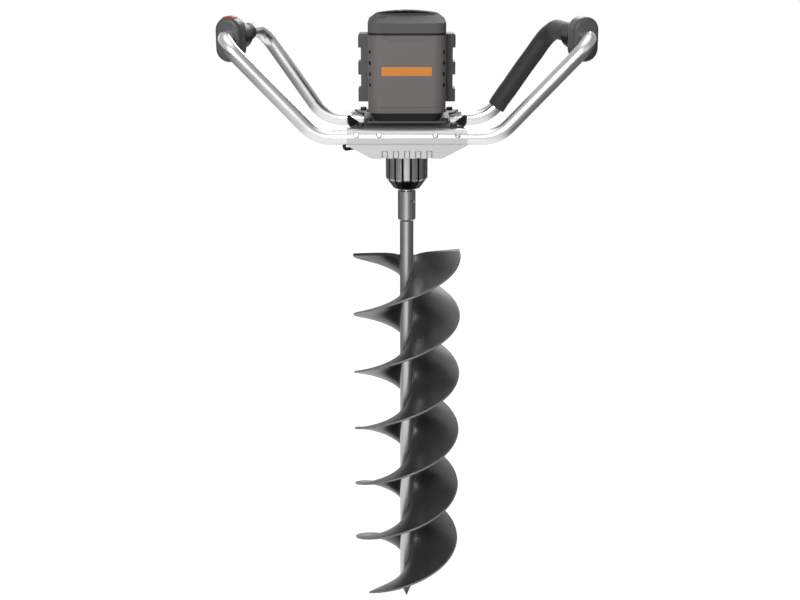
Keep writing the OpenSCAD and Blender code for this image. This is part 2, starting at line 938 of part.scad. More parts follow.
module base_plate() {
    color("#1f1f20")
        difference() {
            union() {
                translate([0, 0, base_z]) linear_extrude(base_t) base_outline();
                ear();
                mirror([1, 0, 0]) ear();
            }
            translate([0, 0, base_z - 1])
                cylinder(d = motor_shaft_d + 2 * shaft_gap, h = base_t + 2);
            at_corners(base_bolt_xy)
                translate([0, 0, base_z - 1]) cylinder(d = 6, h = base_t + 2);
            flange_bolt_places()
                translate([0, 0, base_z - 1]) cylinder(d = flange_bolt_d, h = base_t + 2);
            at_corners(adapter_bolt_xy)
                translate([0, 0, base_z - 1]) cylinder(d = 6, h = base_t + 2);
            translate([cable_up[0], cable_up[1], base_z - 1]) cylinder(d = cable_hole_d, h = base_t + 2);
        }
}

module hex_bolt(z0, z1, d, head_h) {
    translate([0, 0, z0]) cylinder(d = d, h = z1 - z0 + eps);
    translate([0, 0, z1]) cylinder(d = 2 * d - 0.5, h = head_h, $fn = 6);
}

module base_bolts() {
    color("#19191a") {
        at_corners(base_bolt_xy) {
            hex_bolt(base_z - saddle_t, adapter_z, 6, 5);
            translate([0, 0, base_z - saddle_t - 1]) cylinder(d = 6, h = 1 + eps);
        }
        at_corners(adapter_bolt_xy) hex_bolt(base_z - 4, skirt_z, 6, 4);
    }
}

module adapter_plate() {
    color("#a9abae")
        difference() {
            translate([0, 0, adapter_z])
                linear_extrude(adapter_t)
                    rounded(2 * adapter_half[0], 2 * adapter_half[1], 10);
            translate([0, 0, adapter_z - 1]) cylinder(d = motor_d + 1, h = adapter_t + 2);
            at_corners(adapter_bolt_xy)
                translate([0, 0, adapter_z - 1]) cylinder(d = 6, h = adapter_t + 2);
            translate([cable_up[0], cable_up[1], adapter_z - 1])
                cylinder(d = cable_hole_d, h = adapter_t + 2);
        }
}

// Tapered block from the outline x0, y0, r0 at z0 to the outline x1, y1, r1 at z1
module taper(z0, x0, y0, r0, z1, x1, y1, r1) {
    hull() {
        translate([0, 0, z0]) linear_extrude(eps) rounded(x0, y0, r0, $fn = 32);
        translate([0, 0, z1 - eps]) linear_extrude(eps) rounded(x1, y1, r1, $fn = 32);
    }
}

module skirt() {
    foot = [body_w - 22, body_d - 19];
    head = [body_w - 5, body_d - 5];
    r = body_r - 4;
    in = 2 * shell_t;
    color("#232324")
        difference() {
            taper(skirt_z, foot[0], foot[1], r, body_z, head[0], head[1], r);
            taper(skirt_z - 1, foot[0] - in, foot[1] - in, r - shell_t,
                body_z + 1, head[0] - in, head[1] - in, r - shell_t);
            at_corners(adapter_bolt_xy)
                translate([0, 0, skirt_z - 1]) cylinder(d = bolt_room[0], h = bolt_room[1] + 1);
        }
}

// Section of the front saddle: half round over the tube, a flange inside and a web below
module saddle_section() {
    r = tube_d / 2;
    difference() {
        union() {
            translate([-tube_y, tube_z]) {
                intersection() {
                    circle(r = r + saddle_t);
                    polygon([[0, 0], [0, 2 * r], [-2 * r, 2 * r], [-2 * r, -2 * r], [-r * 0.9, -r * 1.1]]);
                }
                translate([-eps, r]) square([flange_in, saddle_t]);
            }
            translate([-web_y - web_t / 2, saddle_bottom])
                square([web_t, tube_z - r * 0.62 - saddle_bottom]);
        }
        translate([-tube_y, tube_z]) circle(r = r + run_fit);
    }
}

module saddle() {
    color("#c9c9ca")
        difference() {
            translate([-saddle_w / 2, 0, 0])
                rotate([90, 0, 90])
                    linear_extrude(saddle_w)
                        saddle_section();
            for (s = [-1, 1])
                front_plate(-tube_y - tube_d, -tube_y + tube_d)
                    polygon([
                        [s * web_taper_x, saddle_bottom - 1], [s * web_taper_x, saddle_bottom],
                        [s * saddle_w / 2, web_taper_z], [s * (saddle_w / 2 + 1), web_taper_z],
                        [s * (saddle_w / 2 + 1), saddle_bottom - 1]
                    ]);
            front_plate(-tube_y - tube_d, -tube_y + tube_d)
                for (i = [0 : notch_n - 1])
                    translate([(i - (notch_n - 1) / 2) * notch_pitch - notch_w / 2, saddle_bottom - 1])
                        square([notch_w, notch_h + 1]);
            saddle_screw_holes();
            at_corners(base_bolt_xy)
                translate([0, 0, base_z - saddle_t - 1]) cylinder(d = 6, h = saddle_t + 2);
        }
}

// Children on each saddle screw's axis, with +Z outwards from the tube's middle
module at_saddle_screws() {
    for (x = saddle_screw_x)
        translate([x, -tube_y, tube_z])
            rotate([90 - saddle_screw_angle, 0, 0])
                children();
}

module saddle_screw_holes() {
    at_saddle_screws() cylinder(d = saddle_screw_d, h = tube_d);
}

module front_saddle() {
    saddle();
}

module rear_saddle() {
    mirror([0, 1, 0]) saddle();
}

module saddle_screws() {
    seat = tube_d / 2 + saddle_t;
    shank = saddle_t + tube_wall + 1;
    head_h = 3;
    color("#d5d5d6")
        for (s = [0, 1])
            mirror([0, s, 0])
                at_saddle_screws() {
                    translate([0, 0, seat - shank]) cylinder(d = saddle_screw_d, h = shank + eps);
                    translate([0, 0, seat])
                        cylinder(d1 = saddle_head_d, d2 = saddle_head_d - 3, h = head_h);
                }
}

module tube(right = false) {
    color("#d9dadc")
        mirror([right ? 1 : 0, 0, 0])
            difference() {
                bent_tube(front_path, path_r, tube_d, tube_d - 2 * tube_wall);
                for (s = [0, 1]) mirror([0, s, 0]) saddle_screw_holes();
                if (!right) {
                    translate([-cable_out_x, -tube_y, tube_z - tube_d])
                        cylinder(d = cable_hole_d, h = tube_d);
                    translate(grip_mid)
                        rotate([0, 0, -grip_turn])
                            translate([0, cable_in_y, -tube_d])
                                cylinder(d = cable_hole_d, h = tube_d);
                }
            }
}

module left_tube() {
    tube();
}

module right_tube() {
    tube(right = true);
}

// Solid that a handle tube fills, for the bores of what is clamped on it
module tube_core(right = false) {
    mirror([right ? 1 : 0, 0, 0])
        bent_bar(front_path, path_r, tube_d);
}

// Outline of a control housing, seen along the grip
module control_outline(grow = 0) {
    r = control_w / 2;
    up = control_h / 2 - r;
    translate([0, -control_drop])
        for (s = [-1, 1])
            translate([0, s * up])
                circle(r = r + grow);
    translate([-r - grow, -control_drop - up]) square([2 * (r + grow), 2 * up]);
}

// Control housing with a round front edge, in the grip's frame
module control_body() {
    edge = 7;
    lap = 0.5;
    along_grip(control_y + edge - lap, control_l - edge + lap) control_outline();
    hull()
        for (a = [0 : 22.5 : 90])
            along_grip(control_y + edge * (1 - cos(a)), eps)
                control_outline(-edge * (1 - sin(a)), $fn = 32);
}

module left_control_housing() {
    color("#707172")
        difference() {
            at_grip() control_body();
            tube_core();
            at_grip() {
                button_pocket();
                switch_pocket();
                neck_socket();
            }
        }
}

module right_control_housing() {
    color("#707172")
        difference() {
            at_grip(right = true) control_body();
            tube_core(right = true);
            at_grip(right = true) neck_socket();
        }
}

// Grip body with its neck in the control housing, in the grip's frame
module grip_body() {
    along_grip(grip_y, grip_l)
        translate([0, -grip_drop]) circle(d = grip_w);
    along_grip(control_y + control_l - neck_l, neck_l + face_gap + eps)
        circle(d = neck_d);
}

module neck_socket() {
    along_grip(control_y + control_l - neck_l, neck_l + 1)
        circle(d = neck_d + 2 * slide_fit);
}

module left_grip() {
    color("#1c1c1d")
        difference() {
            at_grip() grip_body();
            tube_core();
            at_grip() {
                trigger_pocket();
                trigger_pin_hole();
                lever_slot();
            }
        }
}

module right_grip() {
    color("#1c1c1d")
        difference() {
            at_grip(right = true) grip_body();
            tube_core(right = true);
        }
}

module trigger_pocket() {
    ceiling = -(tube_d / 2 + 0.6);
    y0 = trigger_y[0] - slide_fit - 1;
    half = trigger_w / 2 + slide_fit;
    lug_half = trigger_lug_w / 2 + slide_fit;
    translate([-half, y0, ceiling - grip_w])
        cube([2 * half, trigger_paddle_end + slide_fit - y0, grip_w]);
    translate([-lug_half, y0, ceiling - grip_w])
        cube([2 * lug_half, trigger_y[1] + slide_fit - y0, grip_w]);
}

module trigger_pin_hole() {
    translate([0, trigger_pin_y, trigger_pin_z])
        rotate([0, 90, 0])
            cylinder(d = trigger_pin_d, h = grip_w + 2, center = true);
}

module trigger_pin() {
    color("#8f9093")
        at_grip()
            translate([0, trigger_pin_y, trigger_pin_z])
                rotate([0, 90, 0])
                    cylinder(d = trigger_pin_d, h = grip_w - 17, center = true);
}

module trigger() {
    y0 = trigger_y[0];
    y1 = trigger_paddle_end;
    low = trigger_top - trigger_t;
    nose_r = trigger_t / 2;
    lug_r = trigger_pin_d / 2 + 1.3;
    finger_r = 24;
    finger_depth = 1.2;
    color("#161617")
        at_grip()
            difference() {
                union() {
                    across_grip(trigger_w)
                        difference() {
                            union() {
                                translate([y0 + nose_r, low]) square([y1 - y0 - nose_r, trigger_t]);
                                translate([y0, low + nose_r - 1]) square([6, trigger_t - nose_r + 1]);
                                translate([y0 + nose_r, low + nose_r]) circle(r = nose_r);
                            }
                            translate([(y0 + y1) / 2, low - finger_r + finger_depth])
                                circle(r = finger_r);
                        }
                    across_grip(trigger_lug_w) {
                        polygon([
                            [y1 - 1, low + 2], [trigger_pin_y, trigger_pin_z - lug_r],
                            [trigger_pin_y, trigger_pin_z + lug_r], [y1 - 1, trigger_top]
                        ]);
                        translate([trigger_pin_y, trigger_pin_z]) circle(r = lug_r);
                    }
                }
                translate([0, trigger_pin_y, trigger_pin_z])
                    rotate([0, 90, 0])
                        cylinder(d = trigger_pin_d + 2 * run_fit, h = trigger_w + 2, center = true);
            }
}

module button_pocket() {
    translate([-button_w / 2 - slide_fit, button_y - button_l / 2 - slide_fit, tube_d / 2 - 1])
        cube([button_w + 2 * slide_fit, button_l + 2 * slide_fit, control_h]);
}

module lock_button() {
    color("#c4632a")
        at_grip()
            intersection() {
                translate([-button_w / 2, button_y - button_l / 2, button_foot])
                    cube([button_w, button_l, control_h]);
                along_grip(button_y - button_l, 2 * button_l)
                    control_outline(button_top - control_h / 2 + control_drop);
                difference() {
                    translate([-control_w, -200, 0]) cube([2 * control_w, 400, control_h]);
                    translate([0, button_y, button_foot - 1])
                        cylinder(d = spring_d + 2, h = 5 + 1);
                }
            }
}

module lock_spring() {
    seg = 10;
    side_n = 5;
    coil_r = (spring_d - spring_wire) / 2;
    low = tube_d / 2 + spring_wire / 2;
    rise = button_foot + 5 - spring_wire / 2 - low;
    color("#c9cbce")
        at_grip()
            translate([0, button_y, low])
                skin([for (i = [0 : spring_turns * seg])
                    let (a = 360 * i / seg, up = rise * i / (spring_turns * seg))
                    [for (j = [0 : side_n - 1])
                        let (b = -360 * j / side_n, r = coil_r + spring_wire / 2 * cos(b))
                        [r * cos(a), r * sin(a), up + spring_wire / 2 * sin(b)]]]);
}

module switch_pocket() {
    translate([-switch_size[0] / 2, switch_y, switch_z])
        cube(switch_size);
    translate([-cable_hole_d / 2, switch_y + 1, cable_switch_z - cable_hole_d / 2])
        cube([cable_hole_d, cable_in_y - switch_y - 1, cable_hole_d]);
    translate([0, cable_in_y, cable_switch_z - cable_hole_d / 2])
        cylinder(d = cable_hole_d, h = -cable_switch_z);
    translate([lever_x, switch_y + switch_size[1] - 1, switch_z + 4])
        cube([lever_w + slide_fit, 4, -switch_z - 10]);
    lever_slot();
}

// Way for the switch's lever through the control housing and the grip body
module lever_slot() {
    start = switch_y + switch_size[1];
    translate([lever_x - slide_fit, start, lever_z - slide_fit])
        cube([lever_w + 2 * slide_fit, trigger_y[0] - start, lever_t + 2 * slide_fit]);
}

module switch() {
    post_t = 1.5;
    rear = switch_y + switch_size[1];
    color("#2a2c30")
        at_grip() {
            translate([-switch_size[0] / 2, switch_y, switch_z]) cube(switch_size);
            translate([lever_x, rear - eps, switch_z + 6])
                cube([lever_w, post_t, lever_z + lever_t - switch_z - 6]);
            translate([lever_x, rear - eps, lever_z])
                cube([lever_w, trigger_y[0] + 2.5 - rear, lever_t]);
        }
}

// Point on the left grip's axis at the given distance behind the grip body
function behind_grip(far) =
    along_leg(front_path[2], front_path[3], grip_half_l + grip_y + grip_l + far);

// Rubber sleeve over the tube behind a grip
module rear_sleeve(l, right = false) {
    color("#1a1a1b")
        mirror([right ? 1 : 0, 0, 0])
            bent_tube([behind_grip(0), behind_grip(l)], [0, 0], sleeve_d, tube_d);
}

module rear_sleeves() {
    rear_sleeve(left_sleeve_l);
    rear_sleeve(right_sleeve_l, right = true);
}

// Foam sleeve from the right rubber sleeve down to where the rear arm's lower bend starts
module foam_sleeve() {
    arm_l = norm(front_path[4] - front_path[3]) - setback(front_path, 4, lower_bend_r);
    stop = along_leg(front_path[3], front_path[4], arm_l);
    color("#2e2e2f")
        mirror([1, 0, 0])
            bent_tube([behind_grip(right_sleeve_l), front_path[3], stop], [0, upper_bend_r, 0],
                foam_d, tube_d);
}

module control_cable() {
    rearward = [sin(grip_turn), cos(grip_turn), 0];
    entry = grip_mid + rearward * cable_in_y;
    path = [
        grip_mid + rearward * (switch_y + switch_size[1]) + [0, 0, cable_switch_z],
        entry + [0, 0, cable_switch_z], entry,
        front_path[2], front_path[1],
        [-cable_out_x, -tube_y, tube_z],
        [-cable_out_x, -tube_y, cable_low_z],
        [cable_up[0], cable_up[1], cable_low_z],
        [cable_up[0], cable_up[1], tray_z]
    ];
    color("#141414")
        bent_bar(path, [0, 4.5, 7, front_corner_r, lower_bend_r, 8, 6, 12, 0], cable_d);
}

// Plan of the housing's outside, shrunk by the given wall
module body_plan(wall = 0) {
    rounded(body_w - 2 * wall, body_d - 2 * wall, body_r - wall);
}

// Raised panel with round lower corners, in the front view's plane
module panel_outline() {
    h = body_h - panel_lift - panel_drop;
    translate([0, body_z + panel_lift + h / 2]) {
        rounded(panel_w, h, panel_r);
        translate([-panel_w / 2, 0]) square([panel_w, h / 2]);
    }
}

module pull_outline() {
    top = body_top - pull_drop;
    polygon([
        [-pull_w[0] / 2, top], [-pull_w[1] / 2, top - pull_h],
        [pull_w[1] / 2, top - pull_h], [pull_w[0] / 2, top]
    ]);
}

// Housing shell on the front side of the middle plane
module shell() {
    face_y = -body_d / 2;
    difference() {
        union() {
            intersection() {
                translate([0, 0, body_z]) linear_extrude(body_h) body_plan();
                translate([-body_w, -body_d, body_z - 1]) cube([2 * body_w, body_d, body_h + 2]);
            }
            intersection() {
                translate([0, 0, body_z]) linear_extrude(body_h) body_plan(-panel_t);
                front_plate(-body_d, -body_d / 4) panel_outline();
            }
        }
        translate([0, 0, body_z - 1]) linear_extrude(body_h + 2) body_plan(shell_t);
        front_plate(face_y - panel_t - 1, face_y - panel_t + pull_depth) pull_outline();
        vent_slots();
        for (s = [0, 1]) mirror([s, 0, 0]) corner_screw_holes();
    }
}

module front_shell() {
    color("#6d6a69") shell();
}

module rear_shell() {
    color("#6d6a69")
        difference() {
            union() {
                mirror([0, 1, 0]) shell();
                for (x = [-hinge_span / 2, hinge_span / 2])
                    knuckle(x, knuckle_l);
            }
            hinge_bore(0);
        }
}

// Hinge knuckle on the rear wall, centred at x
module knuckle(x, l) {
    wall_y = body_d / 2 + panel_t - 0.5;
    translate([x - l / 2, 0, 0]) {
        translate([0, hinge_y, hinge_z]) rotate([0, 90, 0]) cylinder(d = knuckle_d, h = l);
        translate([0, wall_y, hinge_z - knuckle_d / 2]) cube([l, hinge_y - wall_y, knuckle_d]);
    }
}

module hinge_bore(clear) {
    translate([-body_w / 2, hinge_y, hinge_z])
        rotate([0, 90, 0])
            cylinder(d = hinge_pin_d + 2 * clear, h = body_w);
}

module lid_pin() {
    l = hinge_span + knuckle_l;
    color("#a3a5a8")
        translate([-l / 2, hinge_y, hinge_z])
            rotate([0, 90, 0])
                cylinder(d = hinge_pin_d, h = l);
}

// Slots through both side walls, in the recesses of the side covers
module vent_slots() {
    for (gap = band_gap)
        for (i = [0 : vent_n - 1])
            translate([-cover_w, (i - (vent_n - 1) / 2) * vent_pitch - vent_w / 2,
                    body_z + (gap[0] + gap[1]) / 2 - vent_h / 2])
                cube([2 * cover_w, vent_w, vent_h]);
}

// Children on the screws' axes in the right front corner, with +Z outwards
module at_corner_screws() {
    for (z = screw_hole_z)
        translate([body_w / 2 - body_r, -body_d / 2 + body_r, body_z + z])
            rotate([0, 0, screw_turn])
                rotate([90, 0, 0])
                    children();
}

module corner_screw_holes() {
    at_corner_screws() {
        translate([0, 0, body_r - screw_hole_depth]) cylinder(d = screw_hole_d, h = body_r);
        translate([0, 0, body_r - shell_t - 2]) cylinder(d = 3, h = shell_t);
    }
}

// Side cover outline in the front view's plane, right side, shrunk by the given wall
module cover_outline(wall = 0) {
    z0 = body_z + cover_lift + wall;
    z1 = body_top - cover_drop - wall;
    half = cover_w / 2 - wall;
    difference() {
        union() {
            translate([0, z0]) square([half, z1 - z0 - 5]);
            translate([0, z0]) square([half - 5, z1 - z0]);
            translate([half - 5, z1 - 5]) circle(r = 5);
        }
        for (gap = band_gap)
            polygon([
                [half + 1, body_z + gap[0] - 1 - band_chamfer - wall],
                [half, body_z + gap[0] - band_chamfer - wall],
                [half - band_depth, body_z + gap[0] - wall],
                [half - band_depth, body_z + gap[1] + wall], [half + 1, body_z + gap[1] + wall]
            ]);
    }
}

module side_cover() {
    z0 = body_z + cover_lift - 1;
    cut_in = body_w / 2 - 1;
    difference() {
        intersection() {
            translate([0, 0, z0]) linear_extrude(body_h) rounded(cover_w, cover_d, cover_r);
            front_plate(-cover_d, cover_d) cover_outline();
        }
        translate([0, 0, z0 - 1]) linear_extrude(body_h + 2) body_plan();
        translate([-cover_w, -cover_d, z0 - 1]) cube([cover_w + cut_in, 2 * cover_d, body_h + 2]);
        front_plate(-cover_d / 2 + cover_end, cover_d / 2 - cover_end) cover_outline(shell_t);
        vent_slots();
    }
}

module side_covers() {
    color("#4b4a4a") {
        side_cover();
        mirror([1, 0, 0]) side_cover();
    }
}

module cover_screws() {
    head_h = 1.6;
    seat = body_r - screw_hole_depth;
    foot = body_r - shell_t;
    color("#1b1b1c")
        for (sx = [0, 1]) for (sy = [0, 1])
            mirror([sx, 0, 0]) mirror([0, sy, 0])
                at_corner_screws() {
                    translate([0, 0, seat]) cylinder(d = screw_hole_d - 1, h = head_h);
                    translate([0, 0, foot]) cylinder(d = 3, h = seat - foot + eps);
                }
}

module battery_tray() {
    wall_h = 12;
    color("#2c2d30")
        translate([0, 0, tray_z])
            difference() {
                union() {
                    linear_extrude(tray_t) body_plan(shell_t);
                    linear_extrude(tray_t + wall_h)
                        difference() {
                            intersection() {
                                body_plan(shell_t);
                                square([body_w, pack_d + 8], center = true);
                            }
                            for (s = [-1, 1])
                                translate([s * pack_pitch / 2, 0])
                                    square([pack_w + 2 * slide_fit, pack_d + 2 * slide_fit], center = true);
                        }
                    for (s = [-1, 1])
                        translate([s * pack_pitch / 2 - 12, -8, 0]) cube([24, 16, tray_t + 6]);
                }
            }
}

module battery_packs() {
    color("#37383b")
        for (s = [-1, 1])
            translate([s * pack_pitch / 2, 0, pack_z])
                difference() {
                    union() {
                        linear_extrude(pack_h - 6) rounded(pack_w, pack_d, 5);
                        linear_extrude(pack_h) rounded(pack_w - 8, pack_d - 8, 6);
                    }
                    translate([-12 - slide_fit, -8 - slide_fit, -1])
                        cube([24 + 2 * slide_fit, 16 + 2 * slide_fit, 7 + slide_fit]);
                    for (y = [-pack_d / 4, pack_d / 4])
                        translate([-pack_w / 2 + 8, y - 3, pack_h - 1.5]) cube([pack_w - 16, 6, 3]);
                }
}

// Solid form of the lid, shrunk by the given wall: a rim with slopes up to a short ridge
module lid_form(wall) {
    x = body_w - 0.2 - 2 * wall;
    y = body_d + 2 * panel_t - 2 * wall;
    r = body_r - wall;
    rim_h = lid_rim_h - 0.8 * wall;
    translate([0, 0, lid_z]) linear_extrude(rim_h) rounded(x, y, r, $fn = 32);
    taper(lid_z + rim_h - eps, x, y, r, lid_top - wall, x - 2 * lid_slope_w, lid_ridge_d, 6);
}

// Height of the lid's front slope at depth y
function slope_z(y) =
    let (run = body_d / 2 + panel_t - lid_ridge_d / 2)
    lid_top - lid_slope_h * (-y - lid_ridge_d / 2) / run;

module battery_lid() {
    half = body_w / 2 - lid_slope_w;
    crown_r = (pow(half, 2) + pow(crown_h, 2)) / (2 * crown_h);
    knuckle_in = hinge_span / 2 - knuckle_l / 2 - slide_fit;
    slot = lid_slot[1] - lid_slot[0];
    slot_z = slope_z((lid_slot[0].y + lid_slot[1].y) / 2) - lid_slot_depth;
    color("#646363")
        difference() {
            union() {
                difference() {
                    lid_form(0);
                    translate([0, 0, -eps]) lid_form(shell_t);
                }
                intersection() {
                    translate([0, 0, lid_top - 1])
                        linear_extrude(crown_h + 2) rounded(crown_size[0], crown_size[1], 8);
                    translate([0, 0, lid_top + crown_h - crown_r]) sphere(r = crown_r, $fn = 360);
                }
                lid_knuckle(knuckle_in);
            }
            hinge_bore(run_fit);
            translate([lid_slot[0].x, lid_slot[0].y, slot_z]) cube([slot.x, slot.y, 4]);
        }
}

// Lid's hinge knuckle between the two of the rear shell
module lid_knuckle(half) {
    wall_y = body_d / 2 + panel_t - shell_t + 0.5;
    translate([-half, 0, 0]) {
        translate([0, hinge_y, hinge_z]) rotate([0, 90, 0]) cylinder(d = knuckle_d, h = 2 * half);
        translate([0, hinge_y - 3, hinge_z]) cube([2 * half, knuckle_d / 2 + 3, lid_z + 6 - hinge_z]);
        translate([0, wall_y, lid_z]) cube([2 * half, hinge_y + knuckle_d / 2 - wall_y, 6]);
    }
}

flight_a();
flight_b();
bit_shaft();
drill_point();
collar();
cross_pin();
output_shaft();
second_planet_pins();
second_planet_1();
second_planet_2();
second_planet_3();
first_carrier();
first_planet_pins();
first_planet_1();
first_planet_2();
first_planet_3();
ring_gear();
gear_housing();
gearbox_cover();
lower_bearing();
upper_bearing();
oil_seal();
input_bearing();
flange_bolts();
motor_shaft();
rotor();
cooling_fan();
stator();
windings();
motor_case();
motor_bearing();
base_plate();
base_bolts();
adapter_plate();
skirt();
front_saddle();
rear_saddle();
saddle_screws();
left_tube();
right_tube();
left_control_housing();
right_control_housing();
left_grip();
right_grip();
trigger();
trigger_pin();
lock_button();
lock_spring();
switch();
rear_sleeves();
foam_sleeve();
control_cable();
front_shell();
rear_shell();
side_covers();
cover_screws();
battery_tray();
battery_packs();
battery_lid();
lid_pin();
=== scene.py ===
# %% [markdown]
# # A hand-held battery earth auger
#
# The tool stands on its drill point. From the ground up it is a black auger bit with two
# flights, a steel shaft and collar, a finned gearbox, two saddle plates over bent aluminium
# handle tubes, and a grey power head with its lid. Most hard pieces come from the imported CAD
# model. This script gives them their finishes and makes the tubes, the sleeves, the flights and
# one spring again in a finer form. It adds weld beads and small trim that CAD leaves plain, and
# sets the camera and the light.

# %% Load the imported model
import json
import math

import bmesh
import bpy
from mathutils import Matrix, Vector, noise


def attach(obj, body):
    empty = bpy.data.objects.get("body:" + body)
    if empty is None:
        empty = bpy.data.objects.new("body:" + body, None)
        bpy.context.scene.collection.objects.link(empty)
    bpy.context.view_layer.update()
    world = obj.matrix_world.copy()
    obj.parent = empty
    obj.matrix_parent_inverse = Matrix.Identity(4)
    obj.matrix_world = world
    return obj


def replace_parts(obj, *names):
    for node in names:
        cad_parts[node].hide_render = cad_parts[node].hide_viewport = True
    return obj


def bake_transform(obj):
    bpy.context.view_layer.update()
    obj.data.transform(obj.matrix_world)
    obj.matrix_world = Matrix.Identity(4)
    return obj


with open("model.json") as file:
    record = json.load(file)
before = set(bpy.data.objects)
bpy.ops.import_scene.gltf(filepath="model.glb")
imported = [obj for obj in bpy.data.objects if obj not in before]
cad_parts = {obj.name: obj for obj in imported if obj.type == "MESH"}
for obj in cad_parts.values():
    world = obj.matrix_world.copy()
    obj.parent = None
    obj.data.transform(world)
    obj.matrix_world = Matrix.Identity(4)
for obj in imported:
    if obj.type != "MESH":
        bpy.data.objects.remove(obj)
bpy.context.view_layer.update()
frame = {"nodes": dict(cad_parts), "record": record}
nodes = frame["nodes"]

# %% [markdown]
# ## The camera
#
# The photograph looks at the tool from the front, from a little above. The camera was worked
# out from the flights of the bit: their tips lie on a helix of known width and rise, so the
# places where they show fix the height, the tilt and the lens together. The camera comes
# first because every later choice is judged through it. Places here and below are in metres,
# angles in degrees and the lens in millimetres.

# %% Camera
CAMERA_PLACE = (-0.0118, -2.375, 1.307)
CAMERA_TILT = 16.25
CAMERA_ROLL = 0.05
CAMERA_LENS = 59.6

camera_data = bpy.data.cameras.new("photo_camera")
camera_data.sensor_width = 36.0
camera_data.lens = CAMERA_LENS
camera_data.clip_start, camera_data.clip_end = 0.05, 100.0
camera = bpy.data.objects.new("photo_camera", camera_data)
camera.location = CAMERA_PLACE
camera.rotation_euler = (math.radians(90 - CAMERA_TILT), math.radians(CAMERA_ROLL), 0)
bpy.context.scene.collection.objects.link(camera)
bpy.context.scene.camera = camera
bpy.context.scene.view_settings.view_transform = "Standard"

# %% [markdown]
# ## Colours
#
# Colours are easiest to judge as they look on a screen, from 0 to 255, but a shader mixes
# light in linear steps. One small helper turns the first into the second, so that each finish
# below can be written the way it looks.


# %% Screen colour to linear colour
def paint(red, green, blue):
    """Linear colour for three screen values from 0 to 255."""
    def linear(step):
        share = step / 255
        if share <= 0.04045:
            return share / 12.92
        return ((share + 0.055) / 1.055) ** 2.4

    return (linear(red), linear(green), linear(blue), 1.0)


# %% [markdown]
# ## The studio
#
# The photograph has a plain white ground with no visible corner. Light on the tool stays at a
# plain level, and the white comes from Light Path: where a camera, glossy or transmitted ray
# meets the world or the floor, it finds the white sweep. A diffuse ray finds a softer grey, so
# the white doesn't wash the tool out.
#
# A photographer also stands dark cards beside polished metal, because a round bar in an all
# white room looks flat. The glossy rays here find such cards on the right, on the left and at
# the back, and a grey gap between the sweep and the white panel overhead. That gives the shaft
# its dark edges and the tubes their bright and grey bands.


# %% Ray helpers
def wire(tree, kind, *sources, **settings):
    """Adds a node, sets its properties and plain values, and links its inputs in order."""
    node = tree.nodes.new(kind)
    for key, value in settings.items():
        if hasattr(node, key):
            setattr(node, key, value)
        else:
            node.inputs[key.replace("_", " ")].default_value = value
    for index, source in enumerate(sources):
        if isinstance(source, (int, float)):
            node.inputs[index].default_value = source
        elif source is not None:
            tree.links.new(source, node.inputs[index])
    return node


def seen_ray(tree):
    """1 where a ray shows the background itself: camera, glossy or transmitted."""
    path = wire(tree, "ShaderNodeLightPath")
    total = path.outputs["Is Camera Ray"]
    for ray in ("Is Glossy Ray", "Is Transmission Ray"):
        total = wire(
            tree, "ShaderNodeMath", total, path.outputs[ray], operation="ADD", use_clamp=True,
        ).outputs[0]
    return total


def fade(tree, source, start, end, low, high):
    """Runs smoothly from low to high while the source runs from start to end."""
    return wire(
        tree, "ShaderNodeMapRange", source, start, end, low, high, interpolation_type="SMOOTHSTEP",
    ).outputs[0]


def maths(tree, operation, first, second):
    """One Math node on two sources or plain numbers."""
    return wire(tree, "ShaderNodeMath", first, second, operation=operation).outputs[0]


def white_for_camera(tree, strength):
    """Full white where the camera looks, and the given strength in reflections."""
    camera_ray = wire(tree, "ShaderNodeLightPath").outputs["Is Camera Ray"]
    return maths(tree, "MAXIMUM", camera_ray, strength)


def dark_cards(tree, axes, right, left, back):
    """Darkens three sides. Each takes where its card starts, where it is full, and its grey."""
    left_way = maths(tree, "MULTIPLY", axes.outputs["X"], -1.0)
    sides = maths(
        tree, "MULTIPLY", fade(tree, axes.outputs["X"], right[0], right[1], 1.0, right[2]),
        fade(tree, left_way, left[0], left[1], 1.0, left[2]),
    )
    behind = fade(tree, axes.outputs["Y"], back[0], back[1], 1.0, back[2])
    return maths(tree, "MULTIPLY", sides, behind)


# %% [markdown]
# The world is the upper part of the studio. Its coordinates are directions of length one, so
# every limit below says how far up, right, left or back a direction has to point.

# %% World
SOFT_LIGHT = 0.22
SOFT_STARTS, SOFT_ENDS, SOFT_LEAST = 0.15, 0.60, 0.05
GAP_GREY = 0.55
GAP_STARTS, GAP_FULL = 0.34, 0.50
PANEL_WHITE = 0.9
PANEL_STARTS, PANEL_FULL = 0.80, 0.92
WORLD_RIGHT = (0.35, 0.60, 0.40)
WORLD_LEFT = (0.60, 0.85, 0.60)
WORLD_BACK = (0.70, 0.95, 0.75)

world = bpy.data.worlds.new("white_cove")
bpy.context.scene.world = world
world.use_nodes = True
tree = world.node_tree
tree.nodes.clear()
place = wire(tree, "ShaderNodeTexCoord")
axes = wire(tree, "ShaderNodeSeparateXYZ", place.outputs["Generated"])
gap = fade(tree, axes.outputs["Z"], GAP_STARTS, GAP_FULL, 1.0, GAP_GREY)
panel = fade(tree, axes.outputs["Z"], PANEL_STARTS, PANEL_FULL, 0.0, PANEL_WHITE)
cards = dark_cards(tree, axes, WORLD_RIGHT, WORLD_LEFT, WORLD_BACK)
mirrored = maths(tree, "ADD", maths(tree, "MINIMUM", gap, cards), panel)
shown = wire(tree, "ShaderNodeBackground", None, white_for_camera(tree, mirrored))
shade = fade(tree, axes.outputs["X"], SOFT_STARTS, SOFT_ENDS, SOFT_LIGHT, SOFT_LIGHT * SOFT_LEAST)
soft = wire(tree, "ShaderNodeBackground", None, shade)
for background in (shown, soft):
    background.inputs["Color"].default_value = (1, 1, 1, 1)
choose = wire(tree, "ShaderNodeMixShader", seen_ray(tree), soft.outputs[0], shown.outputs[0])
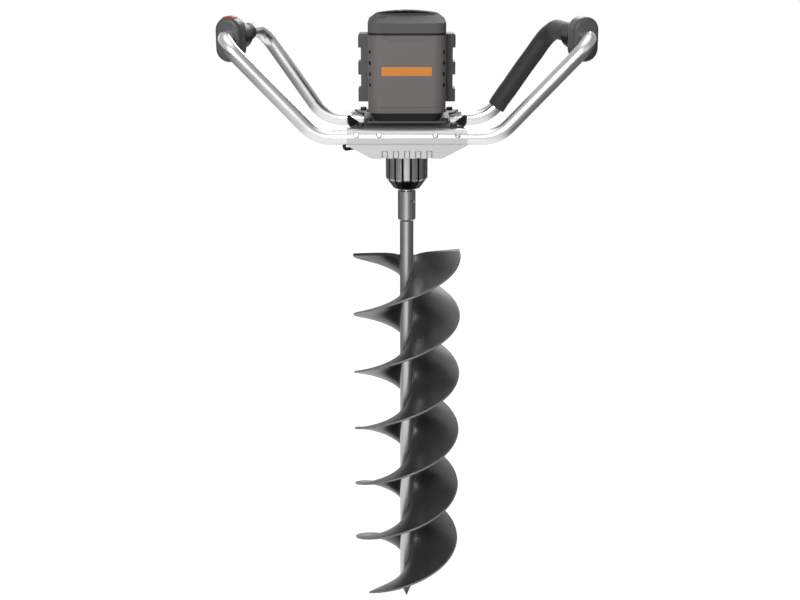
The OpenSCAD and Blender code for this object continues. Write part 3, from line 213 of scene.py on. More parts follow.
wire(tree, "ShaderNodeOutputWorld", choose.outputs[0])

# %% [markdown]
# The floor is one large plane under the point. To a camera ray it is almost all glow and a
# little diffuse white, so it reads as the same white as the world and still takes the faint
# shadow that stands the tool on the ground. Its cards are darker than the world's, because the
# lower half of every round bar mirrors the floor. Their limits are distances in metres.

# %% Floor
FLOOR_HALF = 12.0
FLOOR_DROP = 0.001
FLOOR_GLOW = 0.98
FLOOR_FAINT = 0.22
FLOOR_PLAIN = 0.62
FLOOR_RIGHT = (0.5, 1.0, 0.05)
FLOOR_LEFT = (0.8, 1.5, 0.12)
FLOOR_BACK = (0.4, 1.6, 0.45)

floor_material = bpy.data.materials.new("floor_white")
floor_material.use_nodes = True
tree = floor_material.node_tree
tree.nodes.clear()
place = wire(tree, "ShaderNodeTexCoord")
axes = wire(tree, "ShaderNodeSeparateXYZ", place.outputs["Object"])
cards = dark_cards(tree, axes, FLOOR_RIGHT, FLOOR_LEFT, FLOOR_BACK)
glow_strength = maths(tree, "MULTIPLY", white_for_camera(tree, cards), FLOOR_GLOW)
plain = wire(tree, "ShaderNodeBsdfDiffuse", Color=(FLOOR_PLAIN, FLOOR_PLAIN, FLOOR_PLAIN, 1))
faint = wire(tree, "ShaderNodeBsdfDiffuse", Color=(FLOOR_FAINT, FLOOR_FAINT, FLOOR_FAINT, 1))
glow = wire(tree, "ShaderNodeEmission", None, glow_strength)
both = wire(tree, "ShaderNodeAddShader", faint.outputs[0], glow.outputs[0])
choose = wire(tree, "ShaderNodeMixShader", seen_ray(tree), plain.outputs[0], both.outputs[0])
wire(tree, "ShaderNodeOutputMaterial", choose.outputs[0])

floor_mesh = bpy.data.meshes.new("floor")
shape = bmesh.new()
bmesh.ops.create_grid(shape, x_segments=1, y_segments=1, size=FLOOR_HALF)
shape.to_mesh(floor_mesh)
shape.free()
floor = bpy.data.objects.new("floor", floor_mesh)
floor.location.z = -FLOOR_DROP
floor_mesh.materials.append(floor_material)
bpy.context.scene.collection.objects.link(floor)

# %% [markdown]
# Three soft boxes light the tool. The key stands high in front and a little to the left, so
# the front panel is lit evenly. A very weak one on the right keeps the shaded sides readable,
# and one behind draws a rim along the tubes. Sizes are in metres and powers in watts.


# %% Lamps
def soft_box(name, place, aim, size, power):
    data = bpy.data.lights.new(name, "AREA")
    data.shape = "SQUARE"
    data.size = size
    data.energy = power
    lamp = bpy.data.objects.new(name, data)
    lamp.location = place
    lamp.rotation_euler = (Vector(aim) - Vector(place)).to_track_quat("-Z", "Y").to_euler()
    bpy.context.scene.collection.objects.link(lamp)


soft_box("key_box", place=(-0.8, -3.0, 2.2), aim=(0, 0, 0.8), size=1.3, power=70)
soft_box("fill_box", place=(2.3, -1.9, 1.5), aim=(0, 0, 0.7), size=1.5, power=3)
soft_box("rim_box", place=(0.5, 2.2, 2.4), aim=(0, 0, 0.8), size=1.2, power=30)
print("studio ready")

# %% [markdown]
# ## Finishes
#
# Every finish is a Principled shader with constant values on its own sockets. What makes a
# surface look real is what varies a little: a fine grain in the plastic, long streaks on the
# shaft, an uneven sheen on the tubes. These come from noise on Object coordinates, so they turn
# with their piece, and a Bevel node softens the sharp edges that CAD leaves.


# %% Finish helpers
BEVEL_SAMPLES = 4
BUMP_STRENGTH = 0.5
NOISE_DETAIL = 2.0
NOISE_LOW, NOISE_HIGH = 0.3, 0.7


def new_finish(name, colour, metallic, roughness, edge=0.0004, specular=0.5):
    finish = bpy.data.materials.new(name)
    finish.use_nodes = True
    shader = finish.node_tree.nodes["Principled BSDF"]
    shader.inputs["Base Color"].default_value = colour
    shader.inputs["Metallic"].default_value = metallic
    shader.inputs["Roughness"].default_value = roughness
    shader.inputs["Specular IOR Level"].default_value = specular
    if edge:
        bevel = finish.node_tree.nodes.new("ShaderNodeBevel")
        bevel.samples = BEVEL_SAMPLES
        bevel.inputs["Radius"].default_value = edge
        finish.node_tree.links.new(bevel.outputs[0], shader.inputs["Normal"])
    return finish


def object_noise(finish, scale, stretch=(1, 1, 1)):
    """Noise on Object coordinates, drawn out along an axis by a small stretch value."""
    tree = finish.node_tree
    place = tree.nodes.new("ShaderNodeTexCoord")
    mapping = tree.nodes.new("ShaderNodeMapping")
    mapping.inputs["Scale"].default_value = stretch
    grain = tree.nodes.new("ShaderNodeTexNoise")
    grain.inputs["Scale"].default_value = scale
    grain.inputs["Detail"].default_value = NOISE_DETAIL
    tree.links.new(place.outputs["Object"], mapping.inputs["Vector"])
    tree.links.new(mapping.outputs[0], grain.inputs["Vector"])
    return grain.outputs["Fac"]


def add_grain(finish, scale, height):
    """Fine bumps, laid over the rounded edges."""
    tree = finish.node_tree
    shader = tree.nodes["Principled BSDF"]
    bump = tree.nodes.new("ShaderNodeBump")
    bump.inputs["Strength"].default_value = BUMP_STRENGTH
    bump.inputs["Distance"].default_value = height
    tree.links.new(object_noise(finish, scale), bump.inputs["Height"])
    if shader.inputs["Normal"].links:
        tree.links.new(shader.inputs["Normal"].links[0].from_socket, bump.inputs["Normal"])
    tree.links.new(bump.outputs[0], shader.inputs["Normal"])


def vary(finish, socket, scale, low, high, stretch=(1, 1, 1)):
    """Lets a value wander between two limits, such as an uneven sheen."""
    tree = finish.node_tree
    spread = tree.nodes.new("ShaderNodeMapRange")
    spread.inputs["From Min"].default_value = NOISE_LOW
    spread.inputs["From Max"].default_value = NOISE_HIGH
    spread.inputs["To Min"].default_value = low
    spread.inputs["To Max"].default_value = high
    tree.links.new(object_noise(finish, scale, stretch), spread.inputs["Value"])
    tree.links.new(spread.outputs[0], tree.nodes["Principled BSDF"].inputs[socket])


def mix_colours(finish, factor, first, second):
    """Base colour that runs from one colour to another with a factor."""
    tree = finish.node_tree
    mix = wire(tree, "ShaderNodeMix", data_type="RGBA")
    share, low, high = [socket for socket in mix.inputs if socket.enabled]
    low.default_value, high.default_value = first, second
    tree.links.new(factor, share)
    result = [socket for socket in mix.outputs if socket.enabled][0]
    tree.links.new(result, tree.nodes["Principled BSDF"].inputs["Base Color"])


def axis_distance(finish):
    """Distance of a point from the bit's axis, in the piece's own coordinates."""
    tree = finish.node_tree
    place = wire(tree, "ShaderNodeTexCoord")
    flat = wire(tree, "ShaderNodeVectorMath", place.outputs["Object"], operation="MULTIPLY")
    flat.inputs[1].default_value = (1, 1, 0)
    return wire(tree, "ShaderNodeVectorMath", flat.outputs[0], operation="LENGTH").outputs["Value"]


finishes = {}

# %% [markdown]
# The bit is powder coated black. Powder coat is a hard skin with a faint orange peel: its
# colour is dark, but at a flat angle it mirrors the white room, so each flight runs from
# nearly black by the shaft to a soft grey at its rim. On top of that a light rim is painted
# into the colour as a painted highlight: a mask on the distance from the axis, made ragged by
# noise, mixes the black with a light grey there.

# %% Bit and shafts
FLIGHT_RADIUS = 0.09985
FLIGHT_BLACK = paint(52, 52, 53)
# Painted highlight: the light grey that the rim mask mixes into the flights' black.
RIM_HIGHLIGHT_GREY = paint(128, 128, 128)
RIM_HIGHLIGHT_WIDTH = 0.0013
RIM_HIGHLIGHT_RAGGED = 0.0012

coat = new_finish("black_flight", FLIGHT_BLACK, 0.0, 0.30, edge=0)
add_grain(coat, 420, 0.0002)
vary(coat, "Roughness", 18, 0.26, 0.38)
tree = coat.node_tree
# A ragged band along the rim gets the painted highlight.
ragged = maths(tree, "MULTIPLY", object_noise(coat, 160), RIM_HIGHLIGHT_RAGGED)
highlight_from = maths(tree, "ADD", axis_distance(coat), ragged)
rim_highlight = fade(tree, highlight_from, FLIGHT_RADIUS - RIM_HIGHLIGHT_WIDTH, FLIGHT_RADIUS, 0.0, 1.0)
mix_colours(coat, rim_highlight, FLIGHT_BLACK, RIM_HIGHLIGHT_GREY)
finishes["black_flight"] = coat

dark_steel = new_finish("dark_steel", paint(190, 190, 192), 1.0, 0.28)
vary(dark_steel, "Roughness", 30, 0.26, 0.36, stretch=(1, 1, 0.1))
finishes["dark_steel"] = dark_steel
point_steel = new_finish("hardened_point", paint(84, 84, 86), 0.6, 0.42)

bright_steel = new_finish("bright_steel", paint(200, 200, 203), 1.0, 0.24)
vary(bright_steel, "Roughness", 60, 0.2, 0.32)
finishes["bright_steel"] = bright_steel

gear_steel = new_finish("gear_steel", paint(170, 171, 174), 1.0, 0.3, edge=0.00015)
finishes["gear_steel"] = gear_steel

# %% [markdown]
# The gearbox is cast aluminium. Its fins' faces are bright metal, and the grooves between
# them are coloured black as painted shade; the distance from the axis tells the two apart.
# The handle tubes are satin anodised, so their reflections are soft bands. The saddle
# plates are the same metal with a matt rolled skin, and the adapter plate is duller still.

# %% Light metals
FIN_FACE = 0.0372
GROOVE_FLOOR = 0.0352
FIN_BRIGHT = paint(200, 199, 201)
# Painted shade: the black of the grooves between the fins.
GROOVE_PAINTED_SHADE = paint(34, 34, 35)

cast = new_finish("cast_gearbox", paint(150, 150, 152), 1.0, 0.30, edge=0.0006)
add_grain(cast, 900, 0.0001)
groove_shade = fade(cast.node_tree, axis_distance(cast), GROOVE_FLOOR, FIN_FACE, 0.0, 1.0)
mix_colours(cast, groove_shade, GROOVE_PAINTED_SHADE, FIN_BRIGHT)
finishes["cast_gearbox"] = cast

polished = new_finish("tube_aluminium", paint(226, 226, 228), 1.0, 0.26, edge=0)
vary(polished, "Roughness", 26, 0.23, 0.29)
finishes["tube_aluminium"] = polished

rolled = new_finish("plate_aluminium", paint(202, 202, 203), 0.8, 0.34)
vary(rolled, "Roughness", 90, 0.30, 0.38, stretch=(0.15, 1, 1))
finishes["plate_aluminium"] = rolled

dull_plate = new_finish("dull_adapter", paint(92, 92, 93), 0.4, 0.5)

black_plate = new_finish("black_plate", paint(38, 38, 39), 0.0, 0.45, specular=0.4)
add_grain(black_plate, 700, 0.00015)
finishes["black_plate"] = black_plate

copper = new_finish("copper_wire", paint(184, 108, 62), 0.9, 0.35, edge=0.0002)
finishes["copper_wire"] = copper

# %% [markdown]
# The power head is moulded plastic in several tones. Mould makers etch such covers with a fine
# grain so that fingerprints don't show, which also gives the soft sheen of the photograph.
# The lid is one piece in the model, but from below upwards it shows a dark band at the seam,
# a grey wall, a slope that is a little darker and a black crown. Bands of colour on the height
# give it these. The dark band is painted shade for the narrow gap where hardly any light gets
# in, and the panels' top edge gets the same black as a painted shadow of the lid.

# %% Plastics
# Levels of the painted shade at the lid's foot and the panels' top edge.
SEAM_SHADE_BOTTOM, SEAM_SHADE_TOP = 1.1072, 1.1112
LID_SLOPE = 1.1278
LID_CROWN = 1.1405
BAND_MARGIN = 0.01
ETCH_SCALE, ETCH_HEIGHT = 1500, 0.00012

# Painted shade in the gap under the lid and painted shadow of the lid on the panels.
SEAM_PAINTED_SHADE = paint(44, 44, 45)
LID_GREY = paint(101, 101, 101)
SLOPE_GREY = paint(92, 92, 92)
CROWN_BLACK = paint(24, 24, 25)
PANEL_GREY = paint(112, 107, 107)


def plastic(name, colour, roughness, edge=0.0006, specular=0.35):
    finish = new_finish(name, colour, 0.0, roughness, edge, specular)
    add_grain(finish, ETCH_SCALE, ETCH_HEIGHT)
    return finish


def colour_bands(finish, levels, colours):
    """Gives a piece one colour below the first level, the next one above it, and so on."""
    tree = finish.node_tree
    place = wire(tree, "ShaderNodeTexCoord")
    part = wire(tree, "ShaderNodeSeparateXYZ", place.outputs["Object"])
    low, high = levels[0] - BAND_MARGIN, levels[-1] + BAND_MARGIN
    share = wire(tree, "ShaderNodeMapRange", part.outputs["Z"], low, high, 0.0, 1.0)
    ramp = wire(tree, "ShaderNodeValToRGB", share.outputs[0])
    ramp.color_ramp.interpolation = "CONSTANT"
    stops = ramp.color_ramp.elements
    stops[0].color = colours[0]
    stops[1].position, stops[1].color = (levels[0] - low) / (high - low), colours[1]
    for level, colour in zip(levels[1:], colours[2:]):
        stops.new((level - low) / (high - low)).color = colour
    tree.links.new(ramp.outputs["Color"], tree.nodes["Principled BSDF"].inputs["Base Color"])


finishes["grey_plastic"] = plastic("grey_plastic", PANEL_GREY, 0.42)
finishes["dark_plastic"] = plastic("dark_plastic", paint(82, 81, 81), 0.46)
finishes["black_plastic"] = plastic("black_plastic", paint(40, 40, 41), 0.4, specular=0.2)
finishes["orange_plastic"] = plastic("orange_plastic", paint(214, 98, 44), 0.4)

lid_finish = plastic("lid_plastic", LID_GREY, 0.5, specular=0.02)
# The lid's foot gets the painted shade of the gap under it.
colour_bands(
    lid_finish, [SEAM_SHADE_TOP, LID_SLOPE, LID_CROWN], [SEAM_PAINTED_SHADE, LID_GREY, SLOPE_GREY, CROWN_BLACK],
)
panel_finish = plastic("panel_plastic", PANEL_GREY, 0.42)
# The panels' top edge gets the painted shadow of the lid.
colour_bands(panel_finish, [SEAM_SHADE_BOTTOM], [PANEL_GREY, SEAM_PAINTED_SHADE])

housing_finish = plastic("housing_plastic", paint(84, 84, 85), 0.4)
skirt_finish = plastic("skirt_plastic", paint(54, 54, 55), 0.5, specular=0.2)
label_finish = plastic("label_bar", paint(222, 140, 62), 0.4)
grip_finish = plastic("grip_body_plastic", paint(26, 26, 27), 0.34, edge=0.0012, specular=0.16)
screw_finish = plastic("black_screw", paint(14, 14, 14), 0.5, specular=0.1)
# A pale plate on the crown that paints a highlight there.
crown_highlight_finish = plastic("painted_crown_highlight", paint(150, 150, 150), 0.4)

# %% [markdown]
# Rubber and foam are the softest looking finishes. Foam has open cells at its skin, so its
# bumps are larger and it scatters light at flat angles, which a little sheen gives.

# %% Rubber and foam
rubber = new_finish("grip_rubber", paint(30, 30, 31), 0.0, 0.55, edge=0, specular=0.25)
add_grain(rubber, 1100, 0.0002)
finishes["grip_rubber"] = rubber

foam = new_finish("foam_rubber", paint(54, 54, 55), 0.0, 0.62, edge=0, specular=0.3)
foam.node_tree.nodes["Principled BSDF"].inputs["Sheen Weight"].default_value = 0.1
add_grain(foam, 900, 0.0005)
finishes["foam_rubber"] = foam

# %% [markdown]
# Each CAD node now gets the finish of its material slot. A few nodes share a slot and still
# look different in the photograph, such as the black skirt and the grey panels, so they have a
# finish of their own.

# %% Give each CAD node its finish
own_finish = {
    "drill_point": point_steel,
    "adapter_plate": dull_plate,
    "front_shell": panel_finish,
    "rear_shell": panel_finish,
    "skirt": skirt_finish,
    "battery_lid": lid_finish,
    "left_grip": grip_finish,
    "right_grip": grip_finish,
    "trigger": grip_finish,
    "cover_screws": screw_finish,
    "left_control_housing": housing_finish,
    "right_control_housing": housing_finish,
}
slot_of = {part["node"]: part["material_slot"] for part in frame["record"]["subparts"]}
for name, node in nodes.items():
    finish = own_finish.get(name, finishes[slot_of[name]])
    if not node.material_slots:
        node.data.materials.append(finish)
    for slot in node.material_slots:
        slot.material = finish
used = {slot.material.name for node in nodes.values() for slot in node.material_slots}
print(len(nodes), "nodes dressed in", len(used), "finishes")

# %% [markdown]
# ## Round bars made by sweeping
#
# CAD keeps every curved piece as flat facets or as a coarse mesh, and a mirror-like tube shows
# each facet as a jagged reflection. So the tubes and their sleeves are made again here by
# sweeping a ring: extrude carries it along a straight leg, spin takes it round a bend, and a
# last extrude turns it in at the ends.


# %% Sweep helpers
LEG_STEP = 0.012
BEND_STEPS = 16
TUBE_SEGMENTS, SLEEVE_SEGMENTS = 64, 48


def new_piece(name, shape, finish, body="frame", smooth=True):
    """Turns a finished bmesh into an object that rides on a body. Large end faces stay flat.

    A piece given no body is left unattached.
    """
    mesh = bpy.data.meshes.new(name)
    shape.to_mesh(mesh)
    shape.free()
    for face in mesh.polygons:
        face.use_smooth = smooth and len(face.vertices) <= 4
    mesh.materials.append(finish)
    piece = bpy.data.objects.new(name, mesh)
    bpy.context.scene.collection.objects.link(piece)
    if body:
        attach(piece, body)
    return piece


def ring_across(shape, centre, direction, radius, segments):
    """A ring of edges square to a direction."""
    turn = direction.to_track_quat("Z", "Y").to_matrix().to_4x4()
    made = bmesh.ops.create_circle(
        shape, cap_ends=False, radius=radius, segments=segments,
        matrix=Matrix.Translation(centre) @ turn,
    )
    return list({edge for vert in made["verts"] for edge in vert.link_edges})


def extruded(shape, edges):
    """Extrudes a ring in place. Returns its new edges and their verts."""
    made = bmesh.ops.extrude_edge_only(shape, edges=edges)["geom"]
    verts = {item for item in made if isinstance(item, bmesh.types.BMVert)}
    ring = [item for item in made if isinstance(item, bmesh.types.BMEdge)]
    return [edge for edge in ring if all(vert in verts for vert in edge.verts)], list(verts)


def carry(shape, edges, move):
    """Extrudes a ring along a straight leg in equal steps."""
    count = max(1, round(move.length / LEG_STEP))
    for _ in range(count):
        edges, verts = extruded(shape, edges)
        bmesh.ops.translate(shape, verts=verts, vec=move / count)
    return edges


def resize_ring(shape, edges, centre, factor):
    """Extrudes a ring in place and scales it about its middle."""
    edges, verts = extruded(shape, edges)
    for vert in verts:
        vert.co = centre + (vert.co - centre) * factor
    return edges


def spin_ring(shape, edges, centre, axis, turn, steps, lift=(0, 0, 0)):
    """Spins edges about an axis, with a lift for each step. Returns them where they stop."""
    verts = list({vert for edge in edges for vert in edge.verts})
    made = bmesh.ops.spin(
        shape, geom=verts + edges, cent=centre, axis=axis, dvec=lift, angle=turn, steps=steps,
        use_duplicate=False,
    )["geom_last"]
    return [item for item in made if isinstance(item, bmesh.types.BMEdge)]


def sweep(shape, route, bends, radius, cut=0.0, segments=TUBE_SEGMENTS):
    """Carries a ring along a route and round its bends. Returns the two end rings."""
    ways = [(after - before).normalized() for before, after in zip(route, route[1:])]
    point = route[0] + ways[0] * cut
    edges = ring_across(shape, point, ways[0], radius, segments)
    start_edges = list(edges)
    for way, after, corner, bend in zip(ways, ways[1:], route[1:], bends):
        turn = way.angle(after)
        setback = bend * math.tan(turn / 2)
        edges = carry(shape, edges, corner - way * setback - point)
        axis = way.cross(after).normalized()
        centre = corner - way * setback + axis.cross(way) * bend
        edges = spin_ring(shape, edges, centre, axis, turn, BEND_STEPS)
        point = corner + after * setback
    edges = carry(shape, edges, route[-1] - ways[-1] * cut - point)
    return start_edges, edges


def flip_side(shape):
    """Turns a right-hand piece into its left-hand copy."""
    bmesh.ops.scale(shape, vec=(-1, 1, 1), verts=shape.verts)
    bmesh.ops.reverse_faces(shape, faces=shape.faces)


# %% [markdown]
# The route of a handle is the same as in the CAD model: out from under the saddle plates, up to
# the grip, back along it, and down the rear arm. Both handles use it, one of them mirrored.

# %% Route of a handle
TUBE_RADIUS = 0.0127
TUBE_WALL = 0.002
TUBE_END = 0.030
TUBE_DEPTH = 0.113
TUBE_HEIGHT = 0.9385
GRIP_HEIGHT = 1.105
FRONT_FOOT = Vector((0.156, -TUBE_DEPTH, TUBE_HEIGHT))
GRIP_FRONT = Vector((0.315, -TUBE_DEPTH, GRIP_HEIGHT))
GRIP_REAR = Vector((0.268, TUBE_DEPTH, GRIP_HEIGHT))
REAR_FOOT = Vector((0.153, TUBE_DEPTH, TUBE_HEIGHT))
LOWER_BEND, FRONT_BEND, REAR_BEND = 0.065, 0.030, 0.040

handle_route = [
    Vector((TUBE_END, -TUBE_DEPTH, TUBE_HEIGHT)), FRONT_FOOT, GRIP_FRONT, GRIP_REAR, REAR_FOOT,
    Vector((TUBE_END, TUBE_DEPTH, TUBE_HEIGHT)),
]

# %% [markdown]
# A tube's end is open on the real handle, under the saddle plate. The end ring is scaled in by
# the wall, carried back inside and closed there, which shows a wall and a dark bore.


# %% Handle tubes
BORE_DEPTH = 0.03


def handle_tube(name, mirrored):
    shape = bmesh.new()
    ends = sweep(shape, handle_route, [LOWER_BEND, FRONT_BEND, REAR_BEND, LOWER_BEND], TUBE_RADIUS)
    for edges, centre in zip(ends, (handle_route[0], handle_route[-1])):
        edges = resize_ring(shape, edges, centre, 1 - TUBE_WALL / TUBE_RADIUS)
        edges = carry(shape, edges, Vector((BORE_DEPTH, 0, 0)))
        bmesh.ops.contextual_create(shape, geom=edges)
    bmesh.ops.recalc_face_normals(shape, faces=shape.faces)
    if mirrored:
        flip_side(shape)
    return new_piece(name, shape, finishes["tube_aluminium"])


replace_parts(handle_tube("left_handle_tube", True), "left_tube")
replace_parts(handle_tube("right_handle_tube", False), "right_tube")
print("handle tubes swept through", len(handle_route), "points")

# %% [markdown]
# ## Sleeves on the handles
#
# Behind each grip a rubber sleeve covers the tube, and a long foam sleeve runs over the upper
# bend of the right handle and down its rear arm. A sleeve's end is rounded over a lip and
# turned in to the tube. The foam's skin is let in a little by noise, as cut foam is.


# %% Sleeve helpers
LIP_ANGLES = (30, 60, 90)
SLEEVE_OVERLAP = 0.0004
DENT_SCALE, FINE_DENT_SCALE = 42, 130
DENT_SHARE, FINE_DENT_SHARE = 0.7, 0.3
DENT_LEVEL = 0.35


def close_end(shape, edges, centre, outwards, radius, lip):
    """Rounds a sleeve's end over a lip and turns it in to the tube."""
    for angle in LIP_ANGLES:
        edges, verts = extruded(shape, edges)
        for vert in verts:
            flat = vert.co - centre
            flat -= outwards * flat.dot(outwards)
            shrunk = radius - lip * (1 - math.cos(math.radians(angle)))
            out = lip * math.sin(math.radians(angle)) - lip
            vert.co = centre + flat.normalized() * shrunk + outwards * out
    resize_ring(shape, edges, centre, (TUBE_RADIUS - SLEEVE_OVERLAP) / (radius - lip))


def sleeve(name, route, bends, radius, lip, slot, mirrored=False, dents=0.0):
    """A sleeve over a tube. Dents let its skin in, up to about that depth."""
    shape = bmesh.new()
    start_edges, edges = sweep(shape, route, bends, radius, cut=lip, segments=SLEEVE_SEGMENTS)
    close_end(shape, edges, route[-1], (route[-1] - route[-2]).normalized(), radius, lip)
    close_end(shape, start_edges, route[0], (route[0] - route[1]).normalized(), radius, lip)
    bmesh.ops.recalc_face_normals(shape, faces=shape.faces)
    if dents:
        shape.normal_update()
        for vert in shape.verts:
            wave = (noise.noise(vert.co * DENT_SCALE) * DENT_SHARE
                    + noise.noise(vert.co * FINE_DENT_SCALE) * FINE_DENT_SHARE)
            vert.co += vert.normal * dents * min(0.0, wave - DENT_LEVEL)
    if mirrored:
        flip_side(shape)
    return new_piece(name, shape, finishes[slot])


# %% [markdown]
# The sleeves' ends are measured along the grip from its middle, and the foam's lower end along
# the rear arm from the upper bend. The right rubber sleeve is short, because the foam begins
# close behind the grip. Both rubber sleeves are one node in the CAD model, so it is replaced
# only once.

# %% Rubber and foam sleeves
RUBBER_RADIUS, RUBBER_LIP = 0.0154, 0.0014
FOAM_RADIUS, FOAM_LIP, FOAM_DENTS = 0.0174, 0.003, 0.0012
GRIP_ENDS = -0.0076
LEFT_SLEEVE_ENDS = 0.040
RIGHT_SLEEVE_ENDS = 0.008
FOAM_ON_ARM = 0.178

grip_way = (GRIP_REAR - GRIP_FRONT).normalized()
arm_way = (REAR_FOOT - GRIP_REAR).normalized()
grip_middle = (GRIP_FRONT + GRIP_REAR) / 2
sleeve_start = grip_middle + grip_way * GRIP_ENDS
foam_start = grip_middle + grip_way * RIGHT_SLEEVE_ENDS
foam_stop = GRIP_REAR + arm_way * FOAM_ON_ARM

left_sleeve = sleeve(
    "left_rubber_sleeve", [sleeve_start, grip_middle + grip_way * LEFT_SLEEVE_ENDS], [],
    RUBBER_RADIUS, RUBBER_LIP, "grip_rubber", mirrored=True,
)
sleeve(
    "right_rubber_sleeve", [sleeve_start, foam_start], [],
    RUBBER_RADIUS, RUBBER_LIP, "grip_rubber",
)
foam_sleeve = sleeve(
    "foam_arm_sleeve", [foam_start, GRIP_REAR, foam_stop], [REAR_BEND],
    FOAM_RADIUS, FOAM_LIP, "foam_rubber", dents=FOAM_DENTS,
)
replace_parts(left_sleeve, "rear_sleeves")
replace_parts(foam_sleeve, "foam_sleeve")

# %% [markdown]
# ## The flights
#
# A flight is a steel strip pressed into a helicoid: a straight line that turns and climbs round
# the shaft. Spin does just that when it gets a lift for each step. The section is drawn once,
# with a thickness that grows towards the shaft, because a steep plate of even thickness
# measures more when it is cut upright, and with a rounded rim. The upper end is cut askew, so
# that it starts lower at the shaft: bisect_plane takes that corner off.

# %% Flights
FLIGHT_LEAD = 0.228
FLIGHT_THICK = 0.004
FLIGHT_BOTTOM, FLIGHT_TOP = 0.044, 0.707
FLIGHT_END_ANGLE = 10
SHAFT_RADIUS = 0.0125
END_CUT_ANGLE = 20.5
END_CUT_ZONE = 0.026
FLIGHT_STEPS = 240
RIM_INSIDE, RIM_HALF = 0.0994, 0.0015
FLIGHT_RADII = (
    0.0121, 0.016, 0.021, 0.027, 0.034, 0.042, 0.051, 0.061, 0.071, 0.081, 0.090, 0.096, 0.0985,
)

flight_turn = 2 * math.pi * (FLIGHT_TOP - FLIGHT_BOTTOM) / FLIGHT_LEAD
flight_lift = (0, 0, (FLIGHT_TOP - FLIGHT_BOTTOM) / FLIGHT_STEPS)


def upright_half(radius):
    """Half of the plate's thickness, measured upright at a distance from the axis."""
    return FLIGHT_THICK / 2 * math.hypot(1, FLIGHT_LEAD / (2 * math.pi * radius))


def spun(shape, points, end_angle):
    """Spins a closed section from the flights' lower end to the upper end at an angle."""
    start = Matrix.Rotation(math.radians(end_angle) - flight_turn, 3, "Z")
    lift = Vector((0, 0, FLIGHT_BOTTOM))
    places = [start @ Vector((radius, 0, height)) + lift for radius, height in points]
    verts = [shape.verts.new(place) for place in places]
    edges = [shape.edges.new(pair) for pair in zip(verts, verts[1:] + verts[:1])]
    spin_ring(shape, edges, (0, 0, 0), (0, 0, 1), flight_turn, FLIGHT_STEPS, flight_lift)


def cut_upper_end(shape, end_angle):
    """Cuts the upper end along a plane from the tip to a place further back at the shaft."""
    far = math.radians(end_angle)
    near = math.radians(end_angle - END_CUT_ANGLE)
    tip = Vector((math.cos(far), math.sin(far), 0)) * FLIGHT_RADIUS
    root = Vector((math.cos(near), math.sin(near), 0)) * SHAFT_RADIUS
    lowest = FLIGHT_TOP - END_CUT_ZONE
    top = [face for face in shape.faces if face.calc_center_median().z > lowest]
    geom = {item for face in top for item in (face, *face.edges, *face.verts)}
    bmesh.ops.bisect_plane(
        shape, geom=list(geom), plane_co=root, plane_no=Vector((0, 0, 1)).cross(tip - root),
        clear_outer=True,
    )


def climbing_bar(points, end_angle):
    """A section spun up the shaft, cut askew at the top and closed at both ends."""
    shape = bmesh.new()
    spun(shape, points, end_angle)
    cut_upper_end(shape, end_angle)
    boundary = [edge for edge in shape.edges if edge.is_boundary]
    bmesh.ops.holes_fill(shape, edges=boundary, sides=0)
    bmesh.ops.recalc_face_normals(shape, faces=shape.faces)
    return shape


def flight(name, end_angle):
    lower = [(radius, -upright_half(radius)) for radius in FLIGHT_RADII]
    rim = [(RIM_INSIDE, -RIM_HALF), (FLIGHT_RADIUS, 0.0), (RIM_INSIDE, RIM_HALF)]
    upper = [(radius, -height) for radius, height in reversed(lower)]
    shape = climbing_bar(lower + rim + upper, end_angle)
    heights = [vert.co.z for vert in shape.verts]
    print(name, "runs from", round(min(heights), 4), "to", round(max(heights), 4))
    return new_piece(name, shape, coat, body="bit")


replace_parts(flight("first_flight", FLIGHT_END_ANGLE), "flight_a")
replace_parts(flight("second_flight", FLIGHT_END_ANGLE + 180), "flight_b")

# %% [markdown]
# The strip is held by a weld bead on each side, which runs up the shaft with it. A bead is a
# small circle spun the same way, and noise gives it the uneven width of a hand weld.

# %% Weld beads
BEAD_RADIUS = 0.0019
BEAD_SIDES = 8
BEAD_OUT, BEAD_OFF = 0.0007, 0.0002
BEAD_WAVE, BEAD_WAVE_SCALE = 0.0006, 260


def weld_bead(name, end_angle, side):
    """One bead. Side 1 lies on the flight and side -1 under it."""
    centre = SHAFT_RADIUS + BEAD_OUT
    height = side * (upright_half(centre) + BEAD_OFF)
    points = [
        (centre + BEAD_RADIUS * math.cos(2 * math.pi * k / BEAD_SIDES),
         height + BEAD_RADIUS * math.sin(2 * math.pi * k / BEAD_SIDES))
        for k in range(BEAD_SIDES)
    ]
    shape = climbing_bar(points, end_angle)
    shape.normal_update()
    for vert in shape.verts:
        vert.co += vert.normal * BEAD_WAVE * noise.noise(vert.co * BEAD_WAVE_SCALE)
    return new_piece(name, shape, coat, body="bit")


for flight_name, end_angle in (("first", FLIGHT_END_ANGLE), ("second", FLIGHT_END_ANGLE + 180)):
    weld_bead(flight_name + "_upper_weld", end_angle, 1)
    weld_bead(flight_name + "_lower_weld", end_angle, -1)

# %% [markdown]
# ## The lock button's spring
#
# The spring stands on the tube inside the control housing and pushes the lock button up. A
# rigid spring would run into the button when it is pressed. Here it is made with no body and
# its place is baked into its mesh. Its place, wire and turns are those of the spring in the
# CAD model.

# %% Lock spring
SPRING_X, SPRING_Y = -0.3043, -0.0617
SPRING_LOW, SPRING_HIGH = 1.11772, 1.12638
SPRING_RADIUS = 0.00305
SPRING_WIRE = 0.00045
SPRING_TURNS = 5
SPRING_STEPS = 120
SPRING_SIDES = 8

